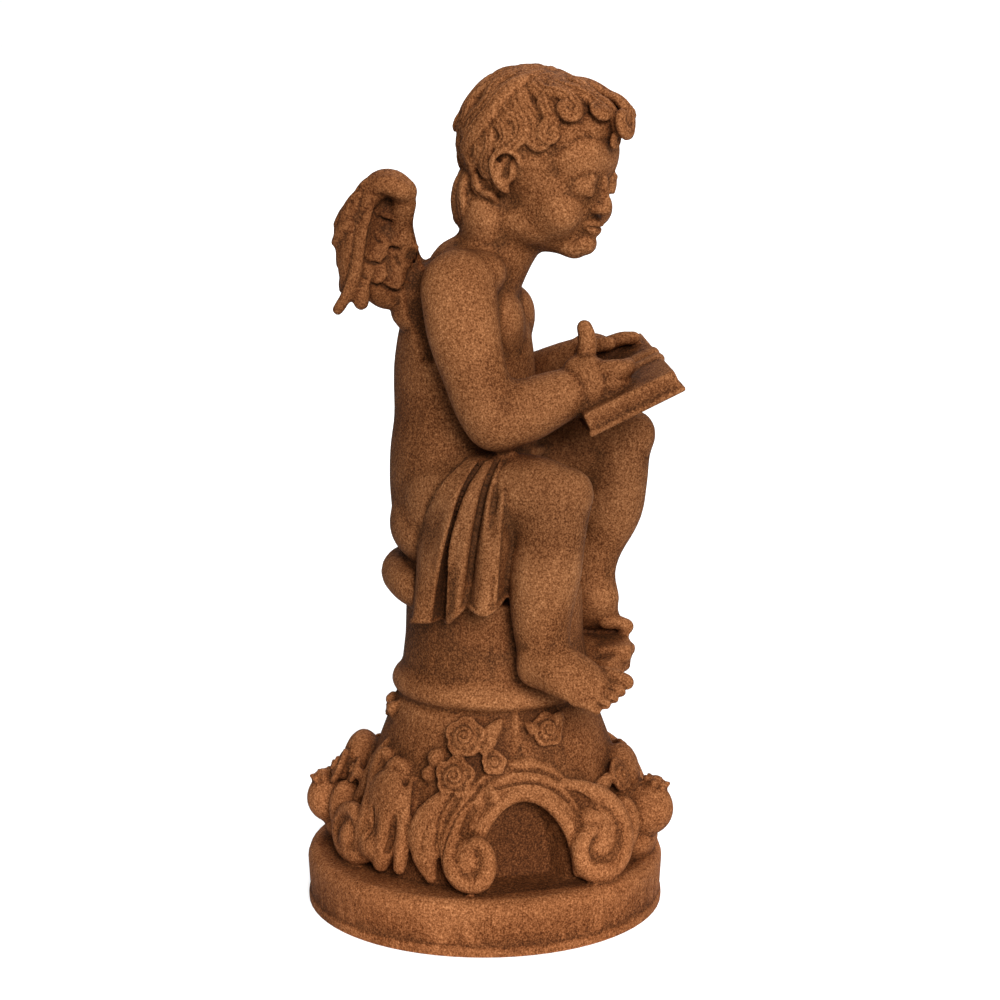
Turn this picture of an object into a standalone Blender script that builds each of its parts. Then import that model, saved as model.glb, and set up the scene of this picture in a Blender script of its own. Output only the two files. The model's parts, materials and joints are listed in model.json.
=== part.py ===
"""Garden statue of a winged child reading a book, cast in one piece with its pedestal.

The figure sits on a round column whose flared foot carries arched scrolls,
acanthus leaves, roses and fruit, on a low round disk. The z axis is the column
axis, the origin is the centre of the disk underside, and the figure looks
toward -y. One closed skin: every body below melts into it.
"""
import math

import bmesh
import bpy
import numpy as np
from mathutils import Euler, Matrix, Vector

# Sizes in millimetres; the finished mesh is set in metres at the end.
DISK_R, DISK_H = 119.0, 36.0
COLUMN_Y = -6.5
ARCH_AT, ARCH_HALF, ARCH_TOP, NICHE_R = 67.5, 19.0, 92.0, 70.0
FRONT_FRUIT = 4.0
HEAD_TURN = (13.0, 0.0, -20.0)
HEAD_SIZE = 0.93
HEAD = Matrix.Translation(Vector((0, -37, 484))) \
    @ Euler([math.radians(a) for a in HEAD_TURN]).to_matrix().to_4x4() @ Matrix.Scale(HEAD_SIZE, 4)
BOOK_MID = np.array([-4.0, -84.0, 355.0])
BOOK_ALONG = np.array([0.235, -0.866, 0.438])
BOOK_ACROSS = np.array([-0.963, -0.261, -0.03])
BOOK_HALF, BOOK_TALL = 55.0, 66.0
# Cells and easing rounds of the three melts, and the triangles of the finished skin.
CELLS, ROUNDS, TRIANGLES = (2.6, 1.8, 1.6), (24, 2, 1), 9600


def vec(*p):
    return np.array(p, float)


def unit(v):
    v = np.asarray(v, float)
    return v / max(np.linalg.norm(v), 1e-9)


def smooth_path(points, count):
    """Points spaced evenly along a Catmull-Rom curve through the given points."""
    p = np.asarray(points, float)
    if len(p) < 3:
        t = np.linspace(0, 1, count)[:, None]
        return p[0] * (1 - t) + p[-1] * t
    q = np.vstack([2 * p[0] - p[1], p, 2 * p[-1] - p[-2]])
    out = []
    for i in range(len(p) - 1):
        a, b, c, d = q[i:i + 4]
        for t in np.linspace(0, 1, 9)[:-1]:
            out.append(0.5 * (2 * b + (c - a) * t + (2 * a - 5 * b + 4 * c - d) * t ** 2
                              + (3 * b - a - 3 * c + d) * t ** 3))
    out.append(p[-1])
    out = np.array(out)
    run = np.concatenate([[0], np.cumsum(np.linalg.norm(np.diff(out, axis=0), axis=1))])
    s = np.linspace(0, run[-1], count)
    return np.stack([np.interp(s, run, out[:, k]) for k in range(out.shape[1])], 1)


def spread(values, count):
    """A short list of sizes stretched to one value per station."""
    v = np.atleast_1d(np.asarray(values, float))
    return np.interp(np.linspace(0, 1, count), np.linspace(0, 1, len(v)), v) if len(v) > 1 \
        else np.full(count, v[0])


def skin(bm, rings, tips):
    """Joins closed rings in order and shuts each end on its tip point."""
    rows = [[bm.verts.new(p) for p in ring] for ring in rings]
    n = len(rows[0])
    for a, b in zip(rows, rows[1:]):
        for i in range(n):
            bm.faces.new((a[i], a[(i + 1) % n], b[(i + 1) % n], b[i]))
    for row, tip, turn in ((rows[0], tips[0], 1), (rows[-1], tips[1], -1)):
        end = bm.verts.new(tip)
        for i in range(n):
            bm.faces.new((row[(i + 1) % n], row[i], end)[::turn])


def tube(bm, points, wide, thick=None, face=None, count=None, sides=10):
    """A round or flattened bar with rounded ends along a curve; face is the way its flat side looks."""
    count = count or max(6, 4 * len(points))
    path = smooth_path(points, count)
    wide = spread(wide, count)
    thick = wide if thick is None else spread(thick, count)
    tangent = np.gradient(path, axis=0)
    tangent /= np.linalg.norm(tangent, axis=1)[:, None]
    look = unit(np.cross(tangent[0], (0.31, 0.62, 0.72)))
    faces = None if face is None else np.atleast_2d(np.asarray(face, float))
    ring_angle = np.linspace(0, 2 * math.pi, sides, endpoint=False)
    stations = []
    for i in range(count):
        t = tangent[i]
        if faces is not None:
            look = faces[round(i * (len(faces) - 1) / (count - 1))]
        look_here = look = unit(look - t * look.dot(t))
        side = np.cross(t, look_here)
        stations.append((path[i], side, look_here, wide[i], thick[i]))
    rings = []

    def ring(centre, side, look_here, w, h):
        return [centre + side * (w * math.cos(a)) + look_here * (h * math.sin(a)) for a in ring_angle]

    c, s, l, w, h = stations[0]
    for q in (20, 50, 75):
        k = math.sin(math.radians(q))
        rings.append(ring(c - tangent[0] * min(w, h) * math.cos(math.radians(q)), s, l, w * k, h * k))
    first = c - tangent[0] * min(w, h)
    for c, s, l, w, h in stations:
        rings.append(ring(c, s, l, w, h))
    for q in (75, 50, 20):
        k = math.sin(math.radians(q))
        rings.append(ring(c + tangent[-1] * min(w, h) * math.cos(math.radians(q)), s, l, w * k, h * k))
    last = c + tangent[-1] * min(w, h)
    skin(bm, rings, (first, last))


def ball(bm, centre, size, turn=(0, 0, 0), parts=16):
    """An ellipsoid of the given half sizes, turned by three angles in degrees."""
    size = (size,) * 3 if np.isscalar(size) else size
    spin = Euler([math.radians(a) for a in turn]).to_matrix().to_4x4()
    place = Matrix.Translation(Vector(centre)) @ spin @ Matrix.Diagonal((*size, 1.0))
    bmesh.ops.create_uvsphere(bm, u_segments=parts, v_segments=parts * 2 // 3, radius=1.0, matrix=place)


def block(bm, centre, axes, size, bevel):
    """A rectangular block on three given axes with rounded edges."""
    frame = Matrix([list(unit(a)) for a in axes]).transposed().to_4x4()
    place = Matrix.Translation(Vector(centre)) @ frame @ Matrix.Diagonal((*size, 1.0))
    new = bmesh.ops.create_cube(bm, size=1.0, matrix=place)["verts"]
    edges = list({e for v in new for e in v.link_edges})
    bmesh.ops.bevel(bm, geom=edges, offset=bevel, segments=2, profile=0.5, affect="EDGES")


def turned(bm, profile, centre, steps=72):
    """A body of revolution: the profile is a list of radius and height, from axis to axis."""
    row = [bm.verts.new((centre[0] + r, centre[1], z)) for r, z in profile]
    edges = [bm.edges.new(pair) for pair in zip(row, row[1:])]
    bmesh.ops.spin(bm, geom=row + edges, cent=(centre[0], centre[1], 0), axis=(0, 0, 1),
                   angle=2 * math.pi, steps=steps)
    bmesh.ops.remove_doubles(bm, verts=bm.verts, dist=0.0001)


def shape(builders, base=None):
    """One mesh holding every closed body made by the builders, laid over a base mesh."""
    whole = bmesh.new()
    if base:
        whole.from_mesh(base)
    for build in builders:
        bm = bmesh.new()
        build(bm)
        bmesh.ops.recalc_face_normals(bm, faces=bm.faces)
        part = bpy.data.meshes.new("part")
        bm.to_mesh(part)
        bm.free()
        whole.from_mesh(part)
        bpy.data.meshes.remove(part)
    mesh = bpy.data.meshes.new("clay")
    whole.to_mesh(mesh)
    whole.free()
    return mesh


def worked(mesh, *steps):
    """The mesh after a list of modifiers, each a type with its settings."""
    piece = bpy.data.objects.new("clay", mesh)
    bpy.context.scene.collection.objects.link(piece)
    for kind, settings in steps:
        tool = piece.modifiers.new(kind.lower(), kind)
        for key, value in settings.items():
            setattr(tool, key, value)
    piece.update_tag()
    bpy.context.view_layer.update()
    graph = bpy.context.evaluated_depsgraph_get()
    result = bpy.data.meshes.new_from_object(piece.evaluated_get(graph))
    bpy.data.objects.remove(piece)
    return result


def fused(mesh, cell, rounds):
    """Melts overlapping bodies into one skin of even cells, then eases it."""
    return worked(mesh, ("REMESH", dict(mode="VOXEL", voxel_size=cell, adaptivity=0.0)),
                  ("SMOOTH", dict(factor=0.5, iterations=rounds)))


def one_body(mesh):
    """Keeps the largest connected skin and drops sealed pockets and loose crumbs."""
    bm = bmesh.new()
    bm.from_mesh(mesh)
    left, bodies = set(bm.verts), []
    while left:
        group, edge = set(), {left.pop()}
        while edge:
            group |= edge
            edge = {e.other_vert(v) for v in edge for e in v.link_edges} - group
        left -= group
        bodies.append(group)
    bodies.sort(key=len)
    bmesh.ops.delete(bm, geom=[v for group in bodies[:-1] for v in group], context="VERTS")
    bm.to_mesh(mesh)
    bm.free()
    return mesh


def carved(mesh, cuts, finest):
    """Sinks grooves into the skin; a cut is a line of points, a half width and a depth."""
    points = np.empty(len(mesh.vertices) * 3)
    mesh.vertices.foreach_get("co", points)
    points = points.reshape(-1, 3)
    normals = np.array([n.vector for n in mesh.vertex_normals])
    sink = np.zeros(len(points))
    for line, width, depth in cuts:
        if width < finest:
            continue
        line = np.asarray(line, float)
        near = np.flatnonzero(((points > line.min(0) - width) & (points < line.max(0) + width)).all(1))
        spot, gap = points[near], np.full(len(near), np.inf)
        for a, b in zip(line, line[1:]):
            run = b - a
            along = np.clip(((spot - a) @ run) / max(run @ run, 1e-9), 0, 1)
            gap = np.minimum(gap, np.linalg.norm(spot - a - along[:, None] * run, axis=1))
        push = depth * np.clip(1 - (gap / width) ** 2, 0, 1) ** 1.5
        sink[near] = np.where(np.abs(push) > np.abs(sink[near]), push, sink[near])
    mesh.vertices.foreach_set("co", (points - normals * sink[:, None]).ravel())
    mesh.update()
    return mesh


# ---------------------------------------------------------------- base

def round_base(phi, rho, z):
    """A point around the column axis: angle from the front, distance, height."""
    a = math.radians(phi)
    return vec(rho * math.sin(a), COLUMN_Y - rho * math.cos(a), z)


def outward(phi):
    return vec(math.sin(math.radians(phi)), -math.cos(math.radians(phi)), 0)


def disk(bm):
    turned(bm, [(0, 0), (DISK_R - 1.8, 0), (DISK_R - 0.8, 1.2), (DISK_R - 0.8, 4.6), (DISK_R - 1.8, 7.0),
                (DISK_R - 0.6, DISK_H - 7), (DISK_R - 2.2, DISK_H - 2.4), (DISK_R - 6.5, DISK_H),
                (0, DISK_H)], (0, 0))


FLARE = ((20, 92), (DISK_H, 91), (52, 90), (66, 88.5), (80, 86), (92, 82.5), (104, 78), (116, 73.5),
         (128, 69), (138, 65.5), (142, 62.5))


def flare(z):
    """Radius of the flared foot at a height."""
    return float(np.interp(z, [p[0] for p in FLARE], [p[1] for p in FLARE]))


def niche(phi, z):
    """One inside the hollow of an arch and zero outside it, with a soft edge."""
    rise = min(max((z - 50) / (ARCH_TOP - 50), 0), 1)
    half = ARCH_HALF * math.sqrt(1 - rise ** 2) if rise < 1 else 0
    off = abs(abs((phi + 180) % 360 - 180) - ARCH_AT)
    return min(max((half - off) / 3 + 0.5, 0), 1)


def flared_foot(bm):
    """The spreading foot under the collar, with a deep niche under each arch."""
    levels = list(np.linspace(20, ARCH_TOP + 2, 14)) + [z for z, _ in FLARE[6:]]
    rings = [[round_base(phi, flare(z) - niche(phi, z) * (flare(z) - NICHE_R), z)
              for phi in np.arange(0, 360, 2.5)] for z in levels]
    skin(bm, rings, (vec(0, COLUMN_Y, 20), vec(0, COLUMN_Y, 142)))


def column(bm):
    turned(bm, [(0, 100), (60, 100), (61, 139), (62.6, 143), (66.6, 146.0), (67.8, 150.0),
                (66.4, 154.5), (62.6, 158.0), (60.5, 163), (58.5, 180), (57.5, 212), (0, 212)],
           (0, COLUMN_Y))


def on_foot(side, points, lift):
    """Points given by angle and height, laid on the flared foot and lifted off it."""
    lift = spread(lift, len(points))
    return [round_base(side * phi, flare(z) + up, z) for (phi, z), up in zip(points, lift)]


def arch_line(half, low, high):
    """The line of one moulding over an arch, foot to foot."""
    return [(ARCH_AT + half * math.cos(a), low + (high - low) * math.sin(a) ** 0.8)
            for a in np.linspace(0, math.pi, 15)]


MOULDINGS = (
    # half width of the arch in degrees, height of its top, how far it stands out at foot and top, bar size
    (20.5, 94.5, 9.0, 2.0, 4.6), (24.0, 99.5, 6.0, 1.5, 3.4), (28.0, 106.0, 3.0, 0.6, 3.0),
    (32.5, 112.5, 1.0, 0.2, 2.8))


def arches(bm):
    for side in (-1, 1):
        for half, top, foot_lift, top_lift, size in MOULDINGS:
            pts = arch_line(half, 44, top)
            lift = [foot_lift + (top_lift - foot_lift) * math.sin(a) for a in np.linspace(0, math.pi, 15)]
            tube(bm, on_foot(side, pts, lift), [size] * 2, [size * 0.8] * 2, face=outward(side * ARCH_AT),
                 count=30)


def band(bm, side, route, lift, wide, thick, count=34):
    """A flattened band laid along a route of angles and heights on the foot."""
    pts = on_foot(side, route, lift)
    faces = [outward(side * phi) for phi, _ in route]
    tube(bm, pts, wide, thick, face=faces, count=count, sides=12)


def scrolls(bm):
    """The scroll ends: a thick band rolled round a filled body, three to a side."""
    for side in (-1, 1):
        # in front of the arch
        ball(bm, round_base(side * 36, 91.5, 61), (19, 13, 22), (0, 0, side * 36), 18)
        band(bm, side, [(48, 99), (38, 93), (29, 82), (25.5, 67), (26.5, 53), (32, 43.5), (40, 42.5),
                        (46.5, 50), (47, 62), (43, 70), (38.5, 69)],
             (2, 5, 9, 11, 12, 12, 12, 12, 12, 12, 10),
             (3, 5.5, 7, 8, 9, 9, 8.5, 8, 6.5, 5, 4), (3, 5, 6, 7, 7.5, 7.5, 7, 7, 6, 5.5, 5))
        # behind the arch
        ball(bm, round_base(side * 89, 96, 56), (12, 13.5, 16), (0, 0, side * 88), 16)
        ball(bm, round_base(side * 93, 79, 91), (13, 10, 13), (0, 0, side * 93), 14)
        band(bm, side, [(90, 96), (94, 84), (96, 70), (95, 56), (91, 46), (85, 45.5), (82, 55), (83, 66),
                        (87, 70), (89, 65)], (3, 6, 9, 12, 14, 15, 15, 14, 13, 11),
             (3, 4, 5, 6.5, 7.5, 7.5, 7, 5.5, 4.5, 3.5), (3, 4, 5, 6.5, 7.5, 7.5, 7, 6, 5, 4.5))
        # the small hook at the back of the leaf bundle
        ball(bm, round_base(side * 145, 97, 53), (13, 14, 14), (0, 0, side * 145), 16)
        ball(bm, round_base(side * 131, 96, 54), (15, 12, 12), (0, 0, side * 131), 16)
        ball(bm, round_base(side * 129, 88, 70), (23, 12, 34), (0, 0, side * 129), 18)
        band(bm, side, [(135, 47), (142, 44), (150, 46), (155, 55), (152, 67), (145, 71), (141, 66)],
             (10, 12, 13, 14, 13, 12, 11), (6, 8, 8.5, 7.5, 6.5, 5.5, 4.5), (5, 7, 8, 7.5, 6.5, 6, 5))


def acanthus(bm):
    for side in (-1, 1):
        # ribs that hook over at the top and run down to rounded toes on the disk
        band(bm, side, [(125, 88), (125, 100), (129.5, 106), (131, 98), (128, 88), (126, 76), (125, 64),
                        (125.5, 52), (126.5, 44)], (1, 2, 4, 5.5, 6.5, 8, 9.5, 10.5, 10),
             (4, 5, 6.5, 8, 8, 7.5, 7.5, 7.5, 6), (3, 4, 4.5, 5, 5.5, 6, 6, 6.5, 5), 34)
        band(bm, side, [(137, 92), (138, 103), (142.5, 108), (143, 99), (139, 86), (138, 74), (138, 62),
                        (137.5, 50), (137, 44)], (1, 2, 4, 5.5, 6.5, 8, 9.5, 10.5, 10),
             (4, 5, 6.5, 8, 8, 8, 8, 7.5, 6), (3, 4, 4.5, 5, 5.5, 6, 6, 6.5, 5), 34)
        band(bm, side, [(120, 98), (118, 84), (117, 70), (117, 56), (118, 44)], (2, 4.5, 6.5, 8, 8),
             (3.5, 5, 5.5, 5.5, 4.5), (3, 5, 5.5, 5.5, 4), 24)
        band(bm, side, [(149, 112), (153, 98), (153, 84), (156, 72)], (0, 2, 3, 5), (3, 5, 6, 5),
             (3, 4, 4, 4), 18)
        # the broad leaf between bundle and arch, pointed at the disk
        band(bm, side, [(97, 97), (101.5, 88), (105, 78), (106.5, 67), (106, 55), (103.5, 43)],
             (2, 4, 6, 8, 9, 9), (5, 10, 13.5, 13, 9.5, 4), (3, 5, 6, 6, 5.5, 4), 24)


def fruit(bm, phi, rho, z, size, tip):
    centre = round_base(phi, rho, z)
    ball(bm, centre, (size * 0.98, size, size * 1.0), parts=18)
    crown = unit(tip)
    ball(bm, centre + crown * size * 0.93, size * 0.36, parts=10)
    side = unit(np.cross(crown, (0.2, 0.3, 0.9)))
    for k in range(6):
        a = k * math.pi / 3
        lean = side * math.cos(a) + np.cross(crown, side) * math.sin(a)
        root = centre + crown * size * 0.92 + lean * size * 0.20
        tube(bm, [root, root + crown * size * 0.18 + lean * size * 0.26], [size * 0.20, size * 0.12],
             count=4, sides=6)


def leaf(bm, root, tip, width, lift, look):
    """A pointed leaf raised on a centre vein, bowed away from the surface behind it."""
    root, tip, look = np.array(root), np.array(tip), unit(look)
    mid = (root + tip) / 2 + look * lift
    tube(bm, [root, mid, tip], [width * 0.35, width * 0.95, width, width * 0.75, width * 0.22],
         [1.9, 2.4, 2.5, 2.1, 1.2], face=look, count=10, sides=8)
    tube(bm, [root + look * 1.9, mid + look * 2.4, tip + look * 0.6], [1.1, 1.2, 0.7], count=8, sides=6)


def rose_axes(phi, rho, z):
    """A rose's middle, the way it faces, and two axes across it."""
    out = unit(outward(phi) + vec(0, 0, 0.45))
    side = unit(np.cross(out, (0, 0, 1)))
    return round_base(phi, rho, z), out, side, np.cross(side, out)


def rose(bm, phi, rho, z, size):
    """An open rose: five outer petals with turned-back rims around a low dome."""
    centre, out, side, rise = rose_axes(phi, rho, z)
    ball(bm, centre - out * size * 0.24, (size * 0.74,) * 3, parts=16)
    for k in range(5):
        a = math.radians(20 + 72 * k)
        d = side * math.cos(a) + rise * math.sin(a)
        along = np.cross(out, d)
        mid = centre + d * size * 0.66 - out * size * 0.10
        tube(bm, [mid - along * size * 0.42, mid + d * size * 0.12, mid + along * size * 0.42],
             [size * 0.22, size * 0.38, size * 0.22], [size * 0.20] * 2, face=out, count=7, sides=8)
        rim = [mid - along * size * 0.52 - d * size * 0.05, mid - along * size * 0.26 + d * size * 0.30,
               mid + along * size * 0.26 + d * size * 0.30, mid + along * size * 0.52 - d * size * 0.05]
        tube(bm, [p + out * size * 0.12 for p in rim], [size * 0.10, size * 0.13, size * 0.10], count=9,
             sides=6)


def rose_cuts():
    """The spiral groove that winds each rose's inner petals."""
    cuts = []
    for phi, rho, z, size in all_roses():
        centre, out, side, rise = rose_axes(phi, rho, z)
        line = []
        for q in np.linspace(0, 1, 26):
            a, reach = 0.6 + 11.5 * q, size * (0.66 - 0.56 * q)
            swell = size * (math.sqrt(0.74 ** 2 - (reach / size) ** 2) - 0.24)
            line.append(centre + out * swell + (side * math.cos(a) + rise * math.sin(a)) * reach)
        cuts.append((line, 1.3, 1.3))
    return cuts


ROSES = (
    # angle, distance, height, size
    (94.5, 74, 130, 12.0), (97.5, 82.5, 106, 12.0), (80, 79, 115, 7.5), (51.5, 71, 132, 10.5),
    (16, 91, 95, 10.5), (170, 104, 88, 11.0), (161, 94, 90, 8.0), (166, 69, 132, 7.0))
LEAVES = (
    # root and tip as angle, distance and height, then the half width
    ((87, 73, 124), (75.5, 67.5, 141), 6.2), ((86, 76, 120), (78, 73, 131), 4.0),
    ((87, 82, 98), (86, 86, 82), 5.4), ((82, 83, 100), (77, 86, 87), 4.2),
    ((48, 70, 134), (40, 67, 141), 5.5), ((57, 71, 130), (64, 68.5, 138), 4.6),
    ((21, 89, 97), (36, 85.5, 87), 6.5), ((12, 91, 90), (1, 93, 82), 5.5),
    ((163, 94, 92), (153, 89, 88), 6.0), ((163, 68, 130), (168, 67, 140), 5.0),
    ((159, 68.5, 128), (152, 67.5, 138), 5.0))


def flowers(bm):
    for side in (-1, 1):
        for phi, z, r in ((108.5, 115, 6.6), (111.5, 104.5, 5.0)):
            ball(bm, round_base(side * phi, flare(z) + 2.5, z), r, parts=12)
        for (p0, r0, z0), (p1, r1, z1), wide in LEAVES:
            leaf(bm, round_base(side * p0, r0, z0), round_base(side * p1, r1, z1), wide, 2.2,
                 outward(side * (p0 + p1) / 2) + vec(0, 0, 0.2))
    for phi, lean in ((0, 0), (180, 6)):
        # the heaps of fruit at front and back
        ball(bm, round_base(phi, 84 + lean, 82), (24, 14, 26), (0, 0, phi))
        ball(bm, round_base(phi, 96 + lean, 46), (25, 14, 15), (0, 0, phi))
        for side in (-1, 1):
            tall = phi + (side * (1 if phi == 0 else -1)) * 17
            ball(bm, round_base(tall, 93 + lean, 62), (10, 12, 20), (0, 0, phi))
    fruit(bm, -FRONT_FRUIT, 103, 67, 18.2, (0.1, -0.35, 1))
    fruit(bm, FRONT_FRUIT + 17, 101, 55, 14.5, (0.3, -0.3, 1))
    fruit(bm, 180 + FRONT_FRUIT, 110.5, 62, 16.8, (-0.1, 0.35, 1))
    fruit(bm, 180 - FRONT_FRUIT - 16, 105, 53, 13.5, (0.3, 0.3, 1))


def all_roses():
    """Both sides' roses; on the left the heaps' roses sit a little lower."""
    return [(side * phi, rho, z - (9 if side > 0 and rho > 90 else 0), size)
            for side in (-1, 1) for phi, rho, z, size in ROSES]


def roses(bm):
    for place in all_roses():
        rose(bm, *place)


def base_cuts():
    """Grooves over the arch, between the ribs, and inside the scroll ends."""
    cuts = rose_cuts()
    for side in (-1, 1):
        for route, lift, wide, deep in (
                ([(80, 99), (68, 102.5), (58, 100.4), (48, 89.5), (43, 79)],
                 (3, 3.5, 3.5, 4, 10), 1.8, 1.6),
                ([(70, 109), (57, 107), (47, 98.7), (38.5, 86), (36, 76)], (1.5, 1.8, 3, 7, 12), 1.8, 1.5),
                ([(121, 98), (120.6, 88), (121, 76), (121, 63), (122, 54)], (6, 8, 10, 12, 13), 2.8, 3.4),
                ([(133, 98), (133, 88), (131.8, 76), (131.5, 66), (131.5, 58)],
                 (7, 9, 12, 14, 15), 2.8, 3.2),
                ([(147, 72), (143.5, 66), (142.5, 56), (143, 46)], (12, 14, 15, 16), 2.2, 2.6),
                ([(117, 99), (114, 80), (113, 69), (112, 57), (110, 46)], (3, 6, 8, 9, 11), 2.6, 2.6),
                ([(93, 104), (97, 97), (101, 84), (101.5, 66)], (4, 6, 10, 13), 1.7, 1.6),
                ([(86, 101), (88.5, 95), (94, 85), (97, 73), (98.5, 56), (98, 45)],
                 (3, 5, 9, 13, 16, 16), 2.0, 2.2),
                ([(89.5, 75), (88, 67), (86, 64)], (18, 20, 20), 1.7, 2.0),
                ([(42, 77), (39.5, 73), (37, 68)], (15, 17, 17), 1.7, 2.2),
                ([(103, 84), (106, 72), (106.5, 58)], (10, 13, 14), 1.2, 0.7)):
            cuts.append((smooth_path(on_foot(side, route, lift), 16), wide, deep))
    return cuts


# ---------------------------------------------------------------- seated figure

def torso(bm):
    levels = [(226, 12, 46, 38), (240, 11, 51, 43), (256, 13, 55, 47), (275, 14, 54, 48), (298, 14, 49, 48),
              (322, 12, 46, 47), (346, 13, 44, 46.5), (370, 13, 45, 46), (392, 14, 46, 43.5),
              (405, 13, 41, 37), (415, 11, 30, 27)]
    tube(bm, [(0, y, z) for z, y, _, _ in levels], [w for _, _, w, _ in levels],
         [d for _, _, _, d in levels], face=(0, 1, 0), count=28, sides=28)
    ball(bm, (-26, 28, 258), (29, 30, 28), parts=20)
    ball(bm, (26, 28, 258), (29, 30, 28), parts=20)
    ball(bm, (0, -4, 322), (34, 32, 34), parts=20)
    tube(bm, [(-46, 7, 413), (-24, 8, 421), (0, 10, 420), (24, 9, 415), (46, 8, 409)],
         [20, 20, 23, 20, 20], [17, 15, 15, 15, 17], face=(0, 0, 1), sides=14)
    tube(bm, [(0, 6, 404), (0, -7, 430), (0, -18, 452)], [27, 25, 26], sides=18)
    ball(bm, (-34, -4, 420), (17, 18, 14), (0, 20, 0), 14)
    for s in (-1, 1):
        ball(bm, (s * 20, -16, 387), (21, 14.5, 21), parts=16)
        ball(bm, (s * 25, 37, 408), (16, 12, 18), (0, -s * 12, 0), 14)


def arms(bm):
    tube(bm, [(-47, 8, 412), (-56, 2, 382), (-62, -10, 346), (-62, -18, 332)], [24.5, 23.5, 20.5, 20],
         sides=18)
    tube(bm, [(-62, -18, 331), (-55, -36, 337), (-46, -53, 344), (-39, -66, 349)], [20, 21, 18.5, 15.5],
         sides=18)
    tube(bm, [(47, 10, 412), (55, 10, 380), (58, 2, 346), (57, -8, 333)], [24, 22, 20, 19], sides=18)
    tube(bm, [(57, -8, 332), (50, -28, 342), (42, -46, 352), (37, -58, 358)], [19, 19, 17, 14.5], sides=18)


def legs(bm):
    tube(bm, [(-30, 16, 272), (-44, -14, 280), (-57, -42, 284), (-60, -54, 281)], [33, 31, 27, 24.5],
         sides=20)
    tube(bm, [(-60, -54, 280), (-61, -52, 256), (-62, -49, 232), (-61, -47.5, 208), (-60, -48, 190)],
         [24.5, 23, 24, 20.5, 17.5], sides=20)
    tube(bm, [(30, 14, 276), (40, -24, 290), (48, -62, 301), (50, -80, 302)], [33, 30, 25.5, 22.5],
         sides=20)
    tube(bm, [(50, -80, 300), (50, -80, 276), (50, -76, 250), (49, -67, 226), (48, -64, 206),
              (48, -66, 194)],
         [23, 21.5, 21.5, 17.5, 16, 18], sides=20)


def leg_fat(bm):
    """Knee caps, calves and the soft rolls at the ankles."""
    for s, knee, calf, ankle in ((-1, (-60, -66, 286), (-63, -44, 243), (-60, -48, 200)),
                                 (1, (50, -92, 306), (51, -67, 260), (48, -65, 214))):
        ball(bm, knee, (17, 15, 17), parts=16)
        ball(bm, calf, (19, 18, 25), parts=16)
        ball(bm, ankle, (18.5 if s < 0 else 16.5, 18 if s < 0 else 16, 9), parts=16)


def foot_frame(heel, big, little):
    """Axes of a foot: ahead, across from the big toe to the little one, and up from the sole."""
    heel, big, little = (np.array(p, float) for p in (heel, big, little))
    ahead = unit((big + little) / 2 - heel)
    across = little - big
    across = unit(across - ahead * across.dot(ahead))
    rise = np.cross(across, ahead)
    return heel, big, little, ahead, across, rise if rise[2] > 0 else -rise


def foot(bm, heel, big, little, high):
    """A plump foot from its heel to the row of toe tips."""
    heel, big, little, ahead, across, rise = foot_frame(heel, big, little)
    toe = (big + little) / 2 - ahead * 5
    half = np.linalg.norm(little - big) / 2
    ball(bm, heel + rise * 2 + ahead, (14, 14, 14), parts=16)
    tube(bm, [heel + rise * 4, heel * 0.60 + toe * 0.40 + rise * high * 0.26,
              heel * 0.30 + toe * 0.70 + rise * high * 0.13, toe],
         [13, half * 1.15, half * 1.25, half * 1.05], [15, high * 0.66, high * 0.46, high * 0.25],
         face=rise, count=14, sides=16)


FEET = (((-65, -44, 174), (-61, -99, 168), (-87, -87, 155), 24),
        ((46, -50, 183), (46, -86, 176), (71, -77, 174), 30))


def feet(bm):
    for heel, big, little, high in FEET:
        foot(bm, heel, big, little, high)


def all_toes(bm):
    for heel, big, little, high in FEET:
        heel, big, little, ahead, across, rise = foot_frame(heel, big, little)
        for share, reach, size in ((0, 2.6, 5.4), (0.30, 4.0, 3.7), (0.53, 3.2, 3.5), (0.76, 1.6, 3.4),
                                   (0.98, -1.0, 3.4)):
            tip = big * (1 - share) + little * share + ahead * reach
            tube(bm, [tip - ahead * 15 + rise * 0.5, tip - ahead * 6 + rise * 1.4, tip],
                 [size, size * 0.92, size], count=8, sides=10)


def step(bm):
    """The rough ledge that stands out under the left foot."""
    ball(bm, (34, -60, 158), (27, 26, 13), (8, 0, -20), 12)
    for centre, turn, size in (((36, -71, 163), 12, (36, 42, 11)), ((26, -73, 154), -24, (30, 34, 15)),
                               ((48, -72, 155), 38, (24, 34, 13)), ((34, -86, 161), -6, (18, 18, 8))):
        a = math.radians(turn)
        block(bm, centre, ((math.cos(a), math.sin(a), 0.12), (-math.sin(a), math.cos(a), -0.1), (0, 0, 1)),
              size, 2.5)


def at_head(points):
    return [tuple(HEAD @ Vector(p)) for p in points]


def head_ball(bm, centre, size, parts=16, turn=(0, 0, 0)):
    lean = (HEAD.to_3x3().normalized() @ Euler([math.radians(a) for a in turn]).to_matrix()).to_euler()
    ball(bm, at_head([centre])[0], [s * HEAD_SIZE for s in size], [math.degrees(a) for a in lean], parts)


def head_tube(bm, points, wide, thick=None, face=None, **more):
    wide = [w * HEAD_SIZE for w in np.atleast_1d(wide)]
    thick = None if thick is None else [w * HEAD_SIZE for w in np.atleast_1d(thick)]
    face = None if face is None else [tuple(HEAD.to_3x3() @ Vector(f)) for f in np.atleast_2d(face)]
    tube(bm, at_head(points), wide, thick, face, **more)


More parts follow.
